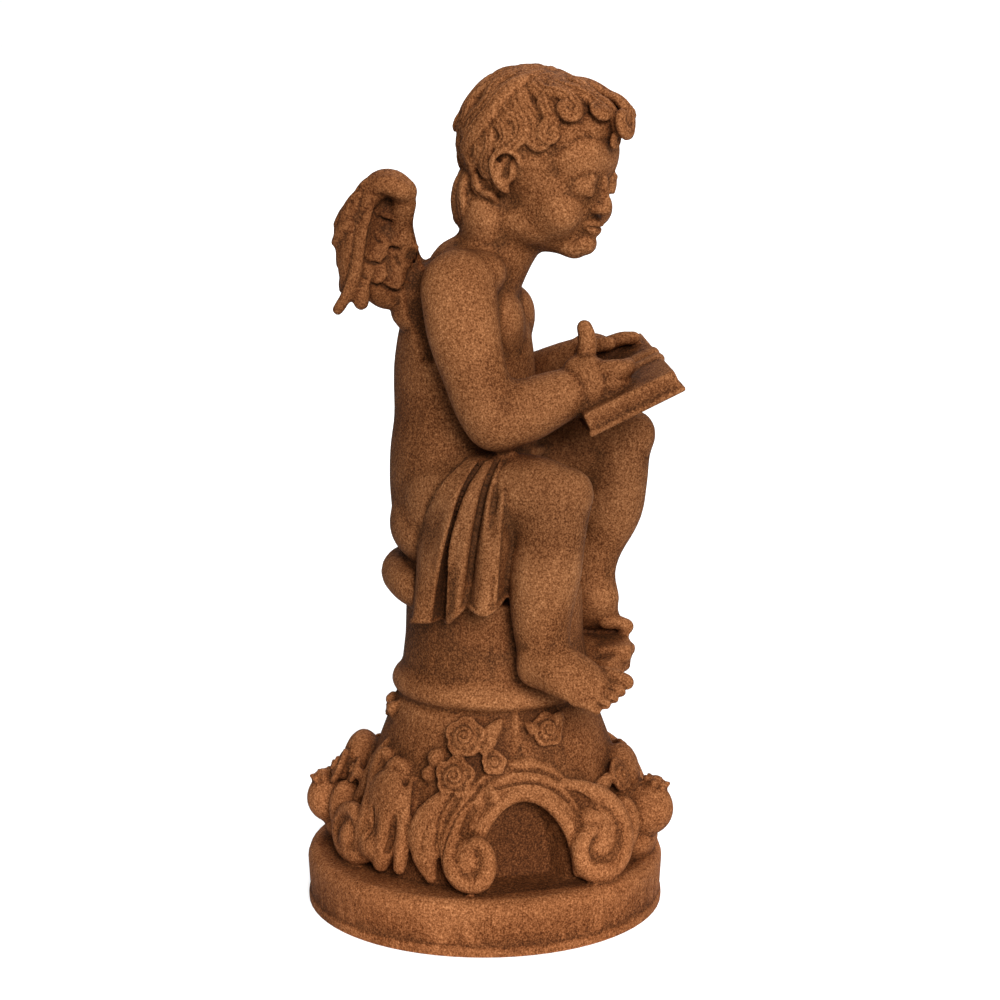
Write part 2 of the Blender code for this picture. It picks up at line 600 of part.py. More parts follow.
def head_mass(bm):
    """The bare mass of the head, in its own frame."""
    head_ball(bm, (0, 7, 11), (44, 50, 44), 28)
    head_ball(bm, (0, -17, -12), (37, 32, 42), 24)
    head_ball(bm, (0, -33, 16), (34, 17, 26), 20)
    for s in (-1, 1):
        head_ball(bm, (s * 20, -28, -23), (18, 18, 17), 18)
        head_ball(bm, (s * 19, -8, -34), (19, 24, 16), 16)
    head_ball(bm, (0, -36, -44), (15, 13, 11), 16)
    head_ball(bm, (0, -14, -42), (22, 24, 13), 16)
    ball(bm, (0, -6, 452), (32, 22, 30), parts=18)


def face(bm):
    """A calm child's face of plain school proportions: eyes half way down, lids lowered."""
    head_tube(bm, [(0, -47, 3), (0, -49, -5), (0, -51.5, -11), (0, -52.5, -14.5)], [4.2, 4.4, 5.0, 5.8],
              count=9)
    for s in (-1, 1):
        head_ball(bm, (s * 5.4, -50.5, -15.5), (3.8, 4.4, 3.6))
        head_ball(bm, (s * 16, -41.2, -1.5), (9.8, 8.6, 7.4))
        head_tube(bm, [(s * 7.5, -46.2, -3.8), (s * 16, -49.2, -5.8), (s * 25, -43.4, -3.6)],
                  [0.9, 1.6, 0.9], count=11, sides=7)
        head_tube(bm, [(s * 7.5, -46.2, 2.6), (s * 16, -49.0, 5.4), (s * 25.5, -43.2, 2.2)],
                  [0.9, 1.5, 0.9], count=11, sides=7)
        head_tube(bm, [(s * 7, -46.2, 10), (s * 16, -45.6, 13), (s * 25, -41.2, 11)], [1.6, 2.2, 1.6],
                  count=9)
        head_ball(bm, (s * 22, -31, -21), (16, 16, 15), 18)
    head_tube(bm, [(-8.5, -47.2, -27.0), (-4.2, -50.6, -25.6), (0, -51.0, -26.4), (4.2, -50.6, -25.6),
                   (8.5, -47.2, -27.0)],
              [1.6, 2.8, 2.9, 2.8, 1.6], count=13, sides=8)
    head_tube(bm, [(-7, -47.5, -29.8), (-3, -50.0, -31.4), (3, -50.0, -31.4), (7, -47.5, -29.8)],
              [1.8, 3.2, 3.2, 1.8], count=11, sides=8)
    head_ball(bm, (0, -44.5, -41.5), (10, 7.5, 8))


def ears(bm):
    for s in (-1, 1):
        head_tube(bm, [(s * 42.5, -7, 5), (s * 46.5, -3, 12), (s * 49.5, 4, 13), (s * 50.5, 10, 7),
                       (s * 49.5, 10.5, -1),
                       (s * 47, 6.5, -8), (s * 44.5, 1.5, -13), (s * 43, -1, -14)],
                  [1.8, 2.4, 2.7, 2.7, 2.6, 2.8, 3.4, 2.6], count=22, sides=8)
        head_ball(bm, (s * 42.5, 3, -2), (3.6, 7, 10), 12)
        head_tube(bm, [(s * 46, 4.5, 7), (s * 47.5, 6.5, 1), (s * 46.5, 4.5, -6)], [1.2, 1.5, 1.2], count=8,
                  sides=7)


HAIR = (((0, 11, 16), (46.5, 50, 48)), ((0, -12, 31), (39, 33, 31)), ((2, -32, 38), (27, 17, 17)),
        ((0, 28, -24), (38, 25.5, 34)))


def scalp(theta, phi, lift=0.0):
    """A point over the hair in head space: theta down from the crown, phi around from the face."""
    t, p = math.radians(theta), math.radians(phi)
    ray = vec(math.sin(t) * math.sin(p), -math.sin(t) * math.cos(p), math.cos(t))
    start, reach = vec(0, 7, 11), 0.0
    for centre, size in HAIR:
        away, size = start - np.array(centre), np.array(size)
        a, b, c = ((ray / size) ** 2).sum(), (ray * away / size ** 2).sum(), ((away / size) ** 2).sum() - 1
        if b * b > a * c:
            reach = max(reach, (-b + math.sqrt(b * b - a * c)) / a)
    return start + ray * (reach + lift)


def lock_line(path, wave, turns, curl, lift, phase):
    """Stations along a wavy lock in head space: its points, the way across it and the way out of it."""
    stations = smooth_path([(*s, 0)[:3] for s in path], 14)
    spine = np.array([scalp(t, p, lift + more) for t, p, more in stations])
    out = [unit(p - vec(0, 7, 11)) for p in spine]
    across = [unit(np.cross(t, n)) for t, n in zip(np.gradient(spine, axis=0), out)]
    spine = [p + a * wave * math.sin(2 * math.pi * turns * i / 13 + phase)
             for i, (p, a) in enumerate(zip(spine, across))]
    if curl:
        ahead, turn = unit(spine[-1] - spine[-2]), math.copysign(1, curl)
        side, n = np.cross(ahead, out[-1]) * turn, out[-1]
        hub = spine[-1] + side * abs(curl)
        for j in range(1, 9):
            a = math.radians(42 * j)
            spoke = -side * math.cos(a) + ahead * math.sin(a)
            spine.append(hub + spoke * abs(curl) * (1 - 0.085 * j) + n * 0.22 * j)
            across.append(-spoke * turn)
            out.append(n)
    return np.array(spine), np.array(across), np.array(out)


def all_locks():
    """Every lock: its stations of theta and phi, size, wave, turns, curl, lift and phase."""
    locks = [([(14, 24), (34, 14, 1), (50, 6, 5), (62, 2, 7)], 7.0, 1.5, 0.8, 8.0, 0.5, 0),
             ([(30, -8), (46, -8, 2), (58, -8, 3), (68, -2, 3)], 5.4, 1.4, 1.0, 4.6, 0.5, 0)]
    for s in (-1, 1):
        locks += [
            # over the brow and the temple
            ([(14, s * 64), (28, s * 42), (40, s * 24, 1), (51, s * 16, 2)],
             6.4, 1.2, 0.8, s * -6.0, 0.5, 0),
            ([(18, s * 92), (30, s * 70), (38, s * 48, 1), (49, s * 38, 1)],
             6.6, 1.0, 0.8, s * -6.2, 0.5, 0),
            ([(22, s * 92), (38, s * 70), (49, s * 62), (58, s * 52), (66, s * 57, 1)],
             6.0, 1.6, 1.4, s * 4.8, 0.8, 0),
            ([(32, s * 98), (50, s * 84), (62, s * 70), (72, s * 66)], 7.0, 1.4, 1.0, s * 4.6, 0.5, 0),
            ([(38, s * 104), (56, s * 97), (66, s * 82), (76, s * 78), (86, s * 82)],
             5.8, 2.6, 1.2, 0, 1.0, 0),
            # a broad combed band from the crown to behind the ear, and the locks below it
            ([(22, s * 100), (46, s * 107), (64, s * 110), (82, s * 120), (98, s * 130)],
             8.5, 0.6, 0.6, 0, 1.2, 0),
            ([(52, s * 104), (68, s * 98), (80, s * 89), (88, s * 90, 1)], 5.4, 2.0, 1.2, 0, 0.8, 0),
            ([(66, s * 104), (80, s * 104), (94, s * 106), (104, s * 104, 1)],
             5.6, 2.4, 1.2, s * 4.8, 0.5, 0),
            ([(84, s * 116), (98, s * 118), (110, s * 108), (118, s * 98)],
             5.8, 2.2, 1.2, s * -5.0, 0.5, 0),
            ([(96, s * 128), (110, s * 126), (124, s * 118), (132, s * 108)],
             5.8, 2.0, 1.0, s * 4.6, 0.5, 0)]
    for k, phi in enumerate(range(136, 233, 16)):
        sway, curl = (7, 5.0) if k % 2 else (-6, -5.0)
        locks += [([(18, phi + 12), (40, phi + sway), (60, phi - sway), (78, phi + sway / 2)],
                   7.2, 2.0, 1.0, curl, 0.2, k * 1.3),
                  ([(76, phi + 8), (94, phi + 8 - sway), (110, phi + 4 + sway)],
                   6.6, 2.4, 1.2, -curl, 0.2, k * 2.1)]
    for k, phi in enumerate(range(128, 234, 15)):
        locks.append(([(106, phi, -1), (120, phi + 5 * (-1) ** k, -0.5), (134, phi, 1.5), (146, phi, 2)],
                      6.4, 1.6, 1.1, 0, 0.0, k * 1.9))
    # broad soft waves flow out from the crown
    for k, phi in enumerate(range(-170, 190, 40)):
        locks.append(([(6, phi + 40), (18, phi + 16), (34, phi)], 9.5, 1.6, 0.7, 0, -2.2, k * 1.7))
    return locks


def hair(bm):
    for centre, size in HAIR:
        head_ball(bm, centre, size, 28)
    ball(bm, (4, 9, 452), (20, 12, 9), (0, 6, 0), 14)
    for path, size, *bend in all_locks():
        spine, across, out = lock_line(path, *bend)
        shape_along = [s * size for s in (0.55, 0.95, 1.0, 1.0, 0.95, 0.9 if not bend[2] else 0.55)]
        head_tube(bm, spine, shape_along, [s * 0.6 for s in shape_along], out, count=34 if bend[2] else 20,
                  sides=9)


def hair_cuts():
    """Fine grooves that part each lock into strands."""
    cuts = []
    for path, size, *bend in all_locks():
        spine, across, out = lock_line(path, *bend)
        marks = (-0.33, 0.33) if size < 8 else (-0.5, 0.0, 0.5)
        for k, mark in enumerate(marks):
            rise = 0.6 * size * math.sqrt(1 - mark ** 2) * 0.92
            line = spine[1:] + across[1:] * size * mark + out[1:] * rise
            cuts.append(([tuple(HEAD @ Vector(p)) for p in line], 1.2, 0.6 if size < 8 else 0.4))
    return cuts


# ---------------------------------------------------------------- wings, book, hands, cloth

def wing_point(side, p):
    """Places a wing point; the left wing is folded closer to the middle of the back."""
    x, y, z = p
    if side < 0:
        return vec(-x, y, z)
    rise = min(max((z - 395) / 45, 0), 1)
    return vec(x * (1 - 0.45 * rise), y + 17 * rise, z - 6 * rise)


WING_ROWS = (
    # height, then outward reach and distance back, from the front edge over the hollow and
    # the ridge to the rear edge
    (474, ((50, 38), (47, 44), (48, 50), (54, 55), (60, 58), (60, 63), (55, 68))),
    (455, ((43, 42), (43, 48), (46, 54), (54, 60), (61, 65), (60.5, 75), (54, 84))),
    (436, ((38, 38), (41, 46), (45, 54), (53, 61), (62, 67), (60.5, 76.5), (54, 84.5))),
    (418, ((33, 37), (39, 45), (45, 54), (53, 62), (61, 70), (60, 77), (55, 82))),
    (405, ((30, 42), (37, 48), (43, 56), (51, 63), (58, 72), (58, 77), (57, 80))))


def wing_depth(y, z):
    """How far out the hollow inner face lies at a height and a distance back."""
    at = sorted(WING_ROWS)
    cols = [np.interp(y, [p[1] for p in row[1]], [p[0] for p in row[1]]) for row in at]
    return float(np.interp(z, [row[0] for row in at], cols))


def sheet(bm, rows, behind):
    """A closed sheet: a grid of points and the same grid set back by a vector."""
    front = [[bm.verts.new(p) for p in row] for row in rows]
    rear = [[bm.verts.new(np.asarray(p) + behind) for p in row] for row in rows]
    m, n = len(rows), len(rows[0])
    for i in range(m - 1):
        for j in range(n - 1):
            bm.faces.new((front[i][j], front[i][j + 1], front[i + 1][j + 1], front[i + 1][j]))
            bm.faces.new((rear[i + 1][j], rear[i + 1][j + 1], rear[i][j + 1], rear[i][j]))
    rim = [(0, j) for j in range(n)] + [(i, n - 1) for i in range(1, m)] \
        + [(m - 1, j) for j in range(n - 2, -1, -1)] + [(i, 0) for i in range(m - 2, 0, -1)]
    for a, b in zip(rim, rim[1:] + rim[:1]):
        bm.faces.new((front[b[0]][b[1]], front[a[0]][a[1]], rear[a[0]][a[1]], rear[b[0]][b[1]]))


def wing(bm, side):
    """A small raised wing: a scooped sheet under a thick hood that rolls over its top."""
    def at(*p):
        return wing_point(side, p)
    grid = [smooth_path([(x, y, z) for x, y in row], 15) for z, row in WING_ROWS]
    cols = [smooth_path([row[j] for row in grid], 12) for j in range(15)]
    sheet(bm, [[at(*cols[j][i]) for j in range(15)] for i in range(12)], vec(-side * 9, 1.5, 0))
    tube(bm, [at(20, 42, 394), at(27, 43, 412), at(33, 44.5, 432), at(38, 46, 450), at(46, 42, 464)],
         [15, 12, 9, 8, 8], count=20, sides=12)
    tube(bm, [at(24, 52, 404), at(34, 58, 404), at(44, 64, 408)], [10, 8, 6], count=10, sides=12)
    tube(bm, [at(50, 41, 471), at(53, 47, 476), at(55, 55, 476), at(56, 62, 468), at(56, 70, 456)],
         [8.5, 9, 8.5, 7, 5], count=20, sides=12)
    tube(bm, [at(56, 41, 472), at(60, 48, 476), at(60, 55, 476)], [6.5, 7, 6], count=12, sides=12)


def feathers(bm, side):
    """The two long feather tips and the short feathers that end on the rear edge."""
    for pts, wide, thick in (
            ([(59, 58, 470), (61, 65, 448), (61, 69, 426), (60, 75, 409), (58.5, 82, 398)], 4.0, 3.4),
            ([(53, 63, 424), (55, 67, 414), (55, 68, 402)], 5.6, 4.2)):
        tube(bm, [wing_point(side, p) for p in pts], [wide * 0.7, wide, wide, wide * 1.05, wide * 0.95],
             [thick * 0.4, thick * 0.6, thick * 0.8, thick * 1.2, thick * 1.1], face=(side, 0.35, 0.1),
             count=18, sides=10)
    for y0, z0, y1, z1 in ((56, 481, 71, 468), (59, 476, 79, 459), (64, 468, 84, 450),
                           (68, 460, 85.5, 439)):
        pts = ((56, y0, z0), (60.5, (y0 + y1) / 2, (z0 + z1) / 2 + 1), (54, y1, z1))
        tube(bm, [wing_point(side, p) for p in pts], [2.8, 3.8, 3.8, 2.4], [2.2, 2.8, 2.4, 1.8],
             face=(side, 0.5, 0.2), count=9, sides=8)


SCALES = ((52, 461, 8), (49, 447, 11.5), (58, 436, 9.5), (40, 431, 9.5), (48, 419, 11.0), (58, 421, 8.5))


def coverts(bm, side):
    """Broad rounded feathers that overlap down the hollow face, and plainer ones on the back."""
    for y, z, size in SCALES:
        centre = wing_point(side, (wing_depth(y, z) + 0.4, y, z))
        ball(bm, centre, (1.4, size * 0.82, size), (side * 10, -side * 12, -side * 10), 16)
    for k in range(5):
        for z in (464, 448, 432, 416):
            y = 50 + k * 7 + (z % 32) / 8 - max(z - 448, 0) * 0.6
            x = wing_depth(min(y, 82), z) - 9.6
            tube(bm, [wing_point(side, (x + 0.8, y, z + 6)), wing_point(side, (x - 0.4, y + 2, z)),
                      wing_point(side, (x - 0.6, y + 4, z - 8))],
                 [3.2, 4.0, 3.8, 2.4], [1.4, 1.8, 1.8, 1.2], face=(-side, 0, 0), count=8, sides=8)


def wing_cuts():
    """Undercut slits below the rounded feathers and grooves between the long ones."""
    cuts = []
    for side in (-1, 1):
        for y, z, size in SCALES:
            arc = [(y + size * 0.86 * math.cos(a), z + size * 1.02 * math.sin(a))
                   for a in np.radians(np.linspace(-10, -105, 12))]
            arc = [p for p in arc if p[0] > 46]
            cuts.append(([wing_point(side, (wing_depth(b, c) + 1.0, b, c)) for b, c in arc], 1.6, 2.6))
        for pts in ([(62, 64, 472), (63, 69.5, 450), (62.5, 73, 430), (61, 78, 412)],
                    [(61, 67, 474), (61.5, 75, 456), (61, 77.5, 438)],
                    [(61, 70, 475), (60, 79, 462), (59, 82, 452)]):
            cuts.append(([wing_point(side, p) for p in smooth_path(pts, 12)], 1.5, 0.9))
    return cuts


def book_frame():
    """Book axes: along the spine away from the reader, across toward the right hand, page normal."""
    along = unit(BOOK_ALONG)
    across = unit(BOOK_ACROSS - along * np.dot(BOOK_ACROSS, along))
    up = np.cross(across, along)
    return along, across, up if up[2] > 0 else -up


def book(bm):
    along, across, up = book_frame()
    for side, roll in ((1, 0.06), (-1, 0.02)):
        out = unit(across * side + up * (-roll if side > 0 else 0.10))
        top = unit(np.cross(out, along) * side)
        top = top if top.dot(up) > 0 else -top
        mid = BOOK_MID + out * (BOOK_HALF / 2)
        block(bm, mid - top * 6.8, (out, along, top), (BOOK_HALF - 3, BOOK_TALL - 3.5, 11.5), 1.2)
        block(bm, mid - top * 14.3, (out, along, top), (BOOK_HALF, BOOK_TALL, 3.6), 1.2)
        # the leaves swell beside the spine
        tube(bm, [BOOK_MID + out * 8 - top * 3.2 - along * (BOOK_TALL / 2 - 4),
                  BOOK_MID + out * 8 - top * 3.2 + along * (BOOK_TALL / 2 - 4)], [8.0] * 2, [4.2] * 2,
             face=top, count=6, sides=12)


def hands(bm):
    along, across, up = book_frame()
    # right hand stands on its edge on the page, thumb raised
    ball(bm, (-38.5, -73, 350), (13.5, 18.5, 20), (14, 0, 6), 16)
    ball(bm, (-36, -66, 360), (11, 10, 10), parts=12)
    for k, (z, reach) in enumerate(((361, 5.5), (352.5, 2.5), (344, 0.5), (337, -2.5))):
        tube(bm, [(-40, -80, z), (-42, -87 - reach * 0.6, z + 1.5), (-37, -91 - reach, z + 2),
                  (-28, -91 - reach, z + 2)],
             [6.8, 6.6, 6.0, 5.4], count=12, sides=10)
    tube(bm, [(-33, -68, 360), (-33, -71, 372), (-33, -71, 382), (-33, -69.5, 387)], [7.2, 6.4, 6.2, 5.2],
         count=10, sides=12)
    # left hand flat along the far page
    ball(bm, (36, -66, 364), (14, 16, 10), (10, -20, 0), 14)
    for k, dx in enumerate((0, 8.2, 16, 23)):
        tube(bm, [(28 + dx, -72, 367 - 1.6 * k), (29 + dx, -84 + k, 372 - 1.6 * k),
                  (30 + dx * 0.95, -93 + 1.5 * k, 373 - 2 * k)],
             [5.4, 5.0, 4.6], count=9, sides=10)
    tube(bm, [(25, -62, 364), (17, -70, 369), (14, -79, 371)], [6.2, 5.6, 5.0], count=8, sides=10)


FOLDS = (
    # y at the top and half way down, the hem's y and z, crest 1 or valley 0 on the thigh, then
    # the outward reach half way down and at the hem
    (1, 32, 37, 199, 0.0, 54, 52),
    (-2, 27, 36, 200, 0.3, 63, 61),
    (-5, 20, 33, 202, 0.7, 71, 67),
    (-8, 12, 23, 203, 1.0, 78, 69),
    (-10, 8.5, 16.5, 204, 0.0, 67, 58),
    (-12, 6.5, 10.5, 204, 0.9, 79, 73),
    (-15, 2, 8, 207, 1.0, 81, 76),
    (-17, -4, 3, 212, 0.9, 83, 81),
    (-19, -8, -2, 217, 0.0, 77, 75),
    (-22, -13, -8, 216, 1.0, 85, 84),
    (-24, -18, -15, 214, 0.2, 87, 88),
    (-27, -24, -21, 217, 1.0, 86, 83),
    (-31, -30, -25, 222, 0.0, 74, 71))


def fold_line(fold, count=14):
    """One fold from the lap to the hem, bowed out over the thigh."""
    top, middle, hem, low, crest, reach, end = fold
    return smooth_path([(-60.5 - 5 * crest, top, 306), (-72 - 6.5 * crest, (top + middle) / 2, 289),
                        (-reach, middle, 256), (-(reach + end) / 2, (middle + hem) / 2, 233), (-end, hem,
                            low)], count)


def drapery(bm):
    """Cloth over the right thigh: one sheet fanned into folds, with rolled lips on its free edges."""
    lines = [fold_line(fold) for fold in FOLDS]
    rows = [smooth_path([line[i] for line in lines], 40) for i in range(14)]
    sheet(bm, rows, vec(16, -2, 2))


def drapery_lips(bm):
    lines = [fold_line(fold) for fold in FOLDS]
    rows = [smooth_path([line[i] for line in lines], 40) for i in range(14)]
    for fold, size in ((3, 1.8), (5, 1.4), (11, 1.8)):
        line = lines[fold] + vec(0.6, 0, 0)
        tube(bm, line[2:], [size * 0.3, size * 0.8, size, size, size], count=18, sides=8)
    hem = [p + vec(2.5, 0, 0) for p in rows[-1]]
    tube(bm, hem[1:], [1.8, 2.2, 2.2, 2.4, 2.6, 2.2], count=40, sides=8)


def lap_cloth(bm):
    tube(bm, [(-44, -14, 303), (-28, -20, 302), (-8, -24, 299), (12, -24, 298), (30, -20, 300)],
         [9, 12, 13, 12, 8],
         [6] * 2, face=(0, -0.35, 1), count=14, sides=10)
    for pts in ([(-48, -22, 304), (-42, -34, 303), (-36, -44, 299)], [(-50, -14, 307), (-34, -20, 308),
        (-16, -24, 306)],
                [(-44, -4, 308), (-26, -10, 308), (-8, -12, 306)], [(-10, -34, 303), (8, -36, 301),
                    (24, -34, 301)]):
        tube(bm, pts, [2.0, 3.2, 2.0], count=9, sides=8)


def seat_cloth(bm):
    """Cloth bunched into a soft roll on top of the column, under and behind the figure."""
    ball(bm, (0, 8, 222), (54, 48, 25), parts=20)
    tube(bm, [(-50, 28, 214), (-40, 41, 218), (-20, 51, 221), (0, 54, 222), (22, 51, 221), (42, 40, 221),
              (55, 22, 223), (59, -2, 225), (53, -24, 225), (36, -38, 221)],
         [10, 12, 13.5, 14, 13.5, 13, 12, 11, 10, 8], [11, 12, 13, 13, 13, 13, 12, 12, 11, 8], face=(0, 0,
             1),
         count=44, sides=14)
    # a few slack folds run down over the roll on the hidden side and the back
    for a, lean, size in ((118, 10, 4.0), (96, -8, 4.6), (72, 12, 4.2), (150, -9, 3.4)):
        pts = [outward(a + lean * q) * (53 + 15 * math.sin(math.pi * q) ** 0.7) + vec(0, 3, 243 - 42 * q)
               for q in np.linspace(0, 1, 6)]
        tube(bm, pts, [size * 0.5, size, size * 1.2, size, size * 0.5], count=14, sides=8)


def both_sides(build):
    def run(bm):
        build(bm, -1)
        build(bm, 1)
    return run


def body_cuts():
    """Creases: the mouth, the fold of the arm, the line of the back, and gaps between fingers and toes."""
    cuts = []
    mouth = [(-9, -48.3, -28.2), (-5, -52.4, -28.2), (0, -53.6, -28.7), (5, -52.4, -28.2),
             (9, -48.3, -28.2)]
    cuts.append(([tuple(HEAD @ Vector(p)) for p in smooth_path(mouth, 12)], 1.3, 1.6))
    for s in (-1, 1):
        for shell, wide, deep in (([(46, 0, 9), (46.5, 1.5, 3), (46, 1, -4)], 2.6, 3.4),
                                  ([(48, 3, 10.5), (49.5, 8.5, 5), (48.5, 8, -3)], 1.3, 1.4)):
            cuts.append(([tuple(HEAD @ Vector((s * x, y, z))) for x, y, z in smooth_path(shell, 8)], wide,
                         deep))
    # the valleys of the cloth are cut deeper
    lines = [fold_line(fold, 24) for fold in FOLDS]
    for fold, last, wide, deep in ((4, 14, 3.2, 2.4), (8, 20, 3.0, 1.8), (10, 9, 2.6, 1.2)):
        cuts.append((lines[fold][:last] - vec(1.2, 0, 0), wide, deep))
    for heel, big, little, ahead, across, rise in (foot_frame(*place[:3]) for place in FEET):
        for share in (0.17, 0.415, 0.645, 0.87):
            gap = big * (1 - share) + little * share + rise * 2.4
            cuts.append(([gap - ahead * (11 - 5 * share), gap - ahead * 2, gap + ahead * 5 - rise * 2.4],
                         1.5, 2.6))
    for s in (-1, 1):
        cuts.append((smooth_path([(s * 40, 36, 428), (s * 39, 38, 414), (s * 38, 37.5, 402),
                                  (s * 38, 35, 388), (s * 42, 29, 370)], 14), 9.0, 5.5))
    spine = [(0, 60, 270), (0, 60, 300), (0, 58, 330), (0, 59, 360), (0, 58, 390), (0, 50, 412)]
    cuts.append((smooth_path(spine, 16), 9.0, 2.6))
    cuts.append((smooth_path([(0, 62, 262), (0, 60, 248), (0, 55, 236)], 8), 5.0, 4.0))
    cuts.append(([(0, -35, 318), (0, -36.5, 316)], 3.2, 2.2))
    for y, z in ((-40, 337), (-43, 336)):
        cuts.append((smooth_path([(-70, y, z + 2), (-66, y - 9, z - 10), (-56, y - 14, z - 16)], 8), 1.6,
                     0.5))
    return cuts


SOFT = (torso, arms, legs, leg_fat, feet, head_mass)
MILD = (column, flared_foot, arches, scrolls, acanthus, flowers, all_toes, step, face, ears, hands,
        seat_cloth, lap_cloth,
        both_sides(wing), both_sides(feathers), both_sides(coverts))
FIRM = (disk, hair, book, drapery, drapery_lips, roses)


def statue_mesh(cells, rounds, triangles):
    """The whole statue in three melts: flesh and column, then modelled forms, then crisp carving."""
    mesh = fused(shape(SOFT), cells[0], rounds[0])
    mesh = fused(shape(MILD, mesh), cells[1], rounds[1])
    mesh = one_body(fused(shape(FIRM, mesh), cells[2], rounds[2]))
    carved(mesh, hair_cuts() + wing_cuts() + body_cuts() + base_cuts(), cells[2])
    ratio = triangles / sum(len(p.vertices) - 2 for p in mesh.polygons)
    mesh = worked(mesh, ("DECIMATE", dict(decimate_type="COLLAPSE", ratio=ratio,
                                          use_collapse_triangulate=True)))
    return level_foot(mesh)


def level_foot(mesh):
    """Cuts the underside off flat, closes it and brings it to height zero."""
    bm = bmesh.new()
    bm.from_mesh(mesh)
    bmesh.ops.bisect_plane(bm, geom=bm.verts[:] + bm.edges[:] + bm.faces[:], dist=0.01,
                           plane_co=(0, 0, 1.5),
                           plane_no=(0, 0, 1), clear_inner=True)
    rim = [e for e in bm.edges if e.is_boundary]
    for corner in {v for e in rim for v in e.verts}:
        corner.co.z = 0.0
    cap = bmesh.ops.contextual_create(bm, geom=rim)["faces"]
    bmesh.ops.triangulate(bm, faces=cap)
    bmesh.ops.recalc_face_normals(bm, faces=bm.faces[:])
    for edge in rim:
        edge.smooth = False
    bm.to_mesh(mesh)
    bm.free()
    return mesh


def rusted_iron():
    material = bpy.data.materials.new("rusted_iron")
    material.use_nodes = True
    shader = material.node_tree.nodes["Principled BSDF"]
    shader.inputs["Base Color"].default_value = (0.30, 0.165, 0.085, 1.0)
    shader.inputs["Roughness"].default_value = 0.82
    shader.inputs["Metallic"].default_value = 0.1
    return material


for old in list(bpy.data.objects):
    bpy.data.objects.remove(old, do_unlink=True)
skin = statue_mesh(CELLS, ROUNDS, TRIANGLES)
skin.transform(Matrix.Scale(0.001, 4))
skin.shade_smooth()
skin.name = "angel_statue"
skin.materials.clear()
skin.materials.append(rusted_iron())
group = bpy.data.collections.new("angel_statue")
bpy.context.scene.collection.children.link(group)
group.objects.link(bpy.data.objects.new("angel_statue", skin))
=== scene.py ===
"""Garden statue of a winged child reading a book: the rusted casting, a pale floor and soft light."""
import json
import math

import bmesh
import bpy
import numpy as np
from mathutils import Euler, Matrix, Vector
from mathutils.bvhtree import BVHTree

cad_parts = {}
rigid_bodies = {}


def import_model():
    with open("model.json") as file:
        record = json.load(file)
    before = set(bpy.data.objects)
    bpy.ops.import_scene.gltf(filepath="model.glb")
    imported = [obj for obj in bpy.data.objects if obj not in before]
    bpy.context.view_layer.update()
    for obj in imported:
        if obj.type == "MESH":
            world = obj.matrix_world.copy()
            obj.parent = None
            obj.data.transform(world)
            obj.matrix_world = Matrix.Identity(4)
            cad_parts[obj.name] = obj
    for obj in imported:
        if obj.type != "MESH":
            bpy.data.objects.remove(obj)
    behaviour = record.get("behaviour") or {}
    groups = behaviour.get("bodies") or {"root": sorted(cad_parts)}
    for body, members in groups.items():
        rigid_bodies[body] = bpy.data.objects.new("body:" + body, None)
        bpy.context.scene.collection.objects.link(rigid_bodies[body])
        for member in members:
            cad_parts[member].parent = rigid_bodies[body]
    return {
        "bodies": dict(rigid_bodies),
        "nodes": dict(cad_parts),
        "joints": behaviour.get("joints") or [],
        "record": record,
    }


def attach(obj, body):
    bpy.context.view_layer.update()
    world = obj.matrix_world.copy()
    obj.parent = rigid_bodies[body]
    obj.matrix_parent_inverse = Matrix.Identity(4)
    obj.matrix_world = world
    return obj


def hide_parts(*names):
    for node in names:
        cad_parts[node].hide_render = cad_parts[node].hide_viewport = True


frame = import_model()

# Shapes are in millimetres until the finished mesh is set in metres; the finish and the view use metres.
DISK_R, DISK_H = 119.0, 36.0
COLUMN_Y = -6.5
ARCH_AT, ARCH_HALF, ARCH_FOOT, ARCH_TOP, NICHE_R = 67.5, 19.0, 50.0, 92.0, 70.0
FRONT_FRUIT = 4.0
HEAD_AT, HEAD_TURN, HEAD_SIZE = (0, -37, 484), (13.0, 0.0, -20.0), 0.93
HEAD = Matrix.Translation(Vector(HEAD_AT)) \
    @ Euler([math.radians(a) for a in HEAD_TURN]).to_matrix().to_4x4() @ Matrix.Scale(HEAD_SIZE, 4)
BOOK_MID = np.array([-4.0, -84.0, 355.0])
BOOK_ALONG = np.array([0.235, -0.866, 0.438])
BOOK_ACROSS = np.array([-0.963, -0.261, -0.03])
BOOK_HALF, BOOK_TALL = 55.0, 66.0
CELLS, ROUNDS, TRIANGLES = (2.2, 1.4, 1.0), (34, 3, 1), 196000


def vec(*p):
    return np.array(p, float)


def unit(v):
    v = np.asarray(v, float)
    return v / max(np.linalg.norm(v), 1e-9)


def smooth_path(points, count):
    """Points spaced evenly along a Catmull-Rom curve through the given points."""
    p = np.asarray(points, float)
    if len(p) < 3:
        t = np.linspace(0, 1, count)[:, None]
        return p[0] * (1 - t) + p[-1] * t
    q = np.vstack([2 * p[0] - p[1], p, 2 * p[-1] - p[-2]])
    out = []
    for i in range(len(p) - 1):
        a, b, c, d = q[i:i + 4]
        for t in np.linspace(0, 1, 9)[:-1]:
            out.append(0.5 * (2 * b + (c - a) * t + (2 * a - 5 * b + 4 * c - d) * t ** 2
                              + (3 * b - a - 3 * c + d) * t ** 3))
    out.append(p[-1])
    out = np.array(out)
    run = np.concatenate([[0], np.cumsum(np.linalg.norm(np.diff(out, axis=0), axis=1))])
    s = np.linspace(0, run[-1], count)
    return np.stack([np.interp(s, run, out[:, k]) for k in range(out.shape[1])], 1)


def spread(values, count):
    """A short list of sizes stretched to one value per station."""
    v = np.atleast_1d(np.asarray(values, float))
    return np.interp(np.linspace(0, 1, count), np.linspace(0, 1, len(v)), v) if len(v) > 1 \
        else np.full(count, v[0])


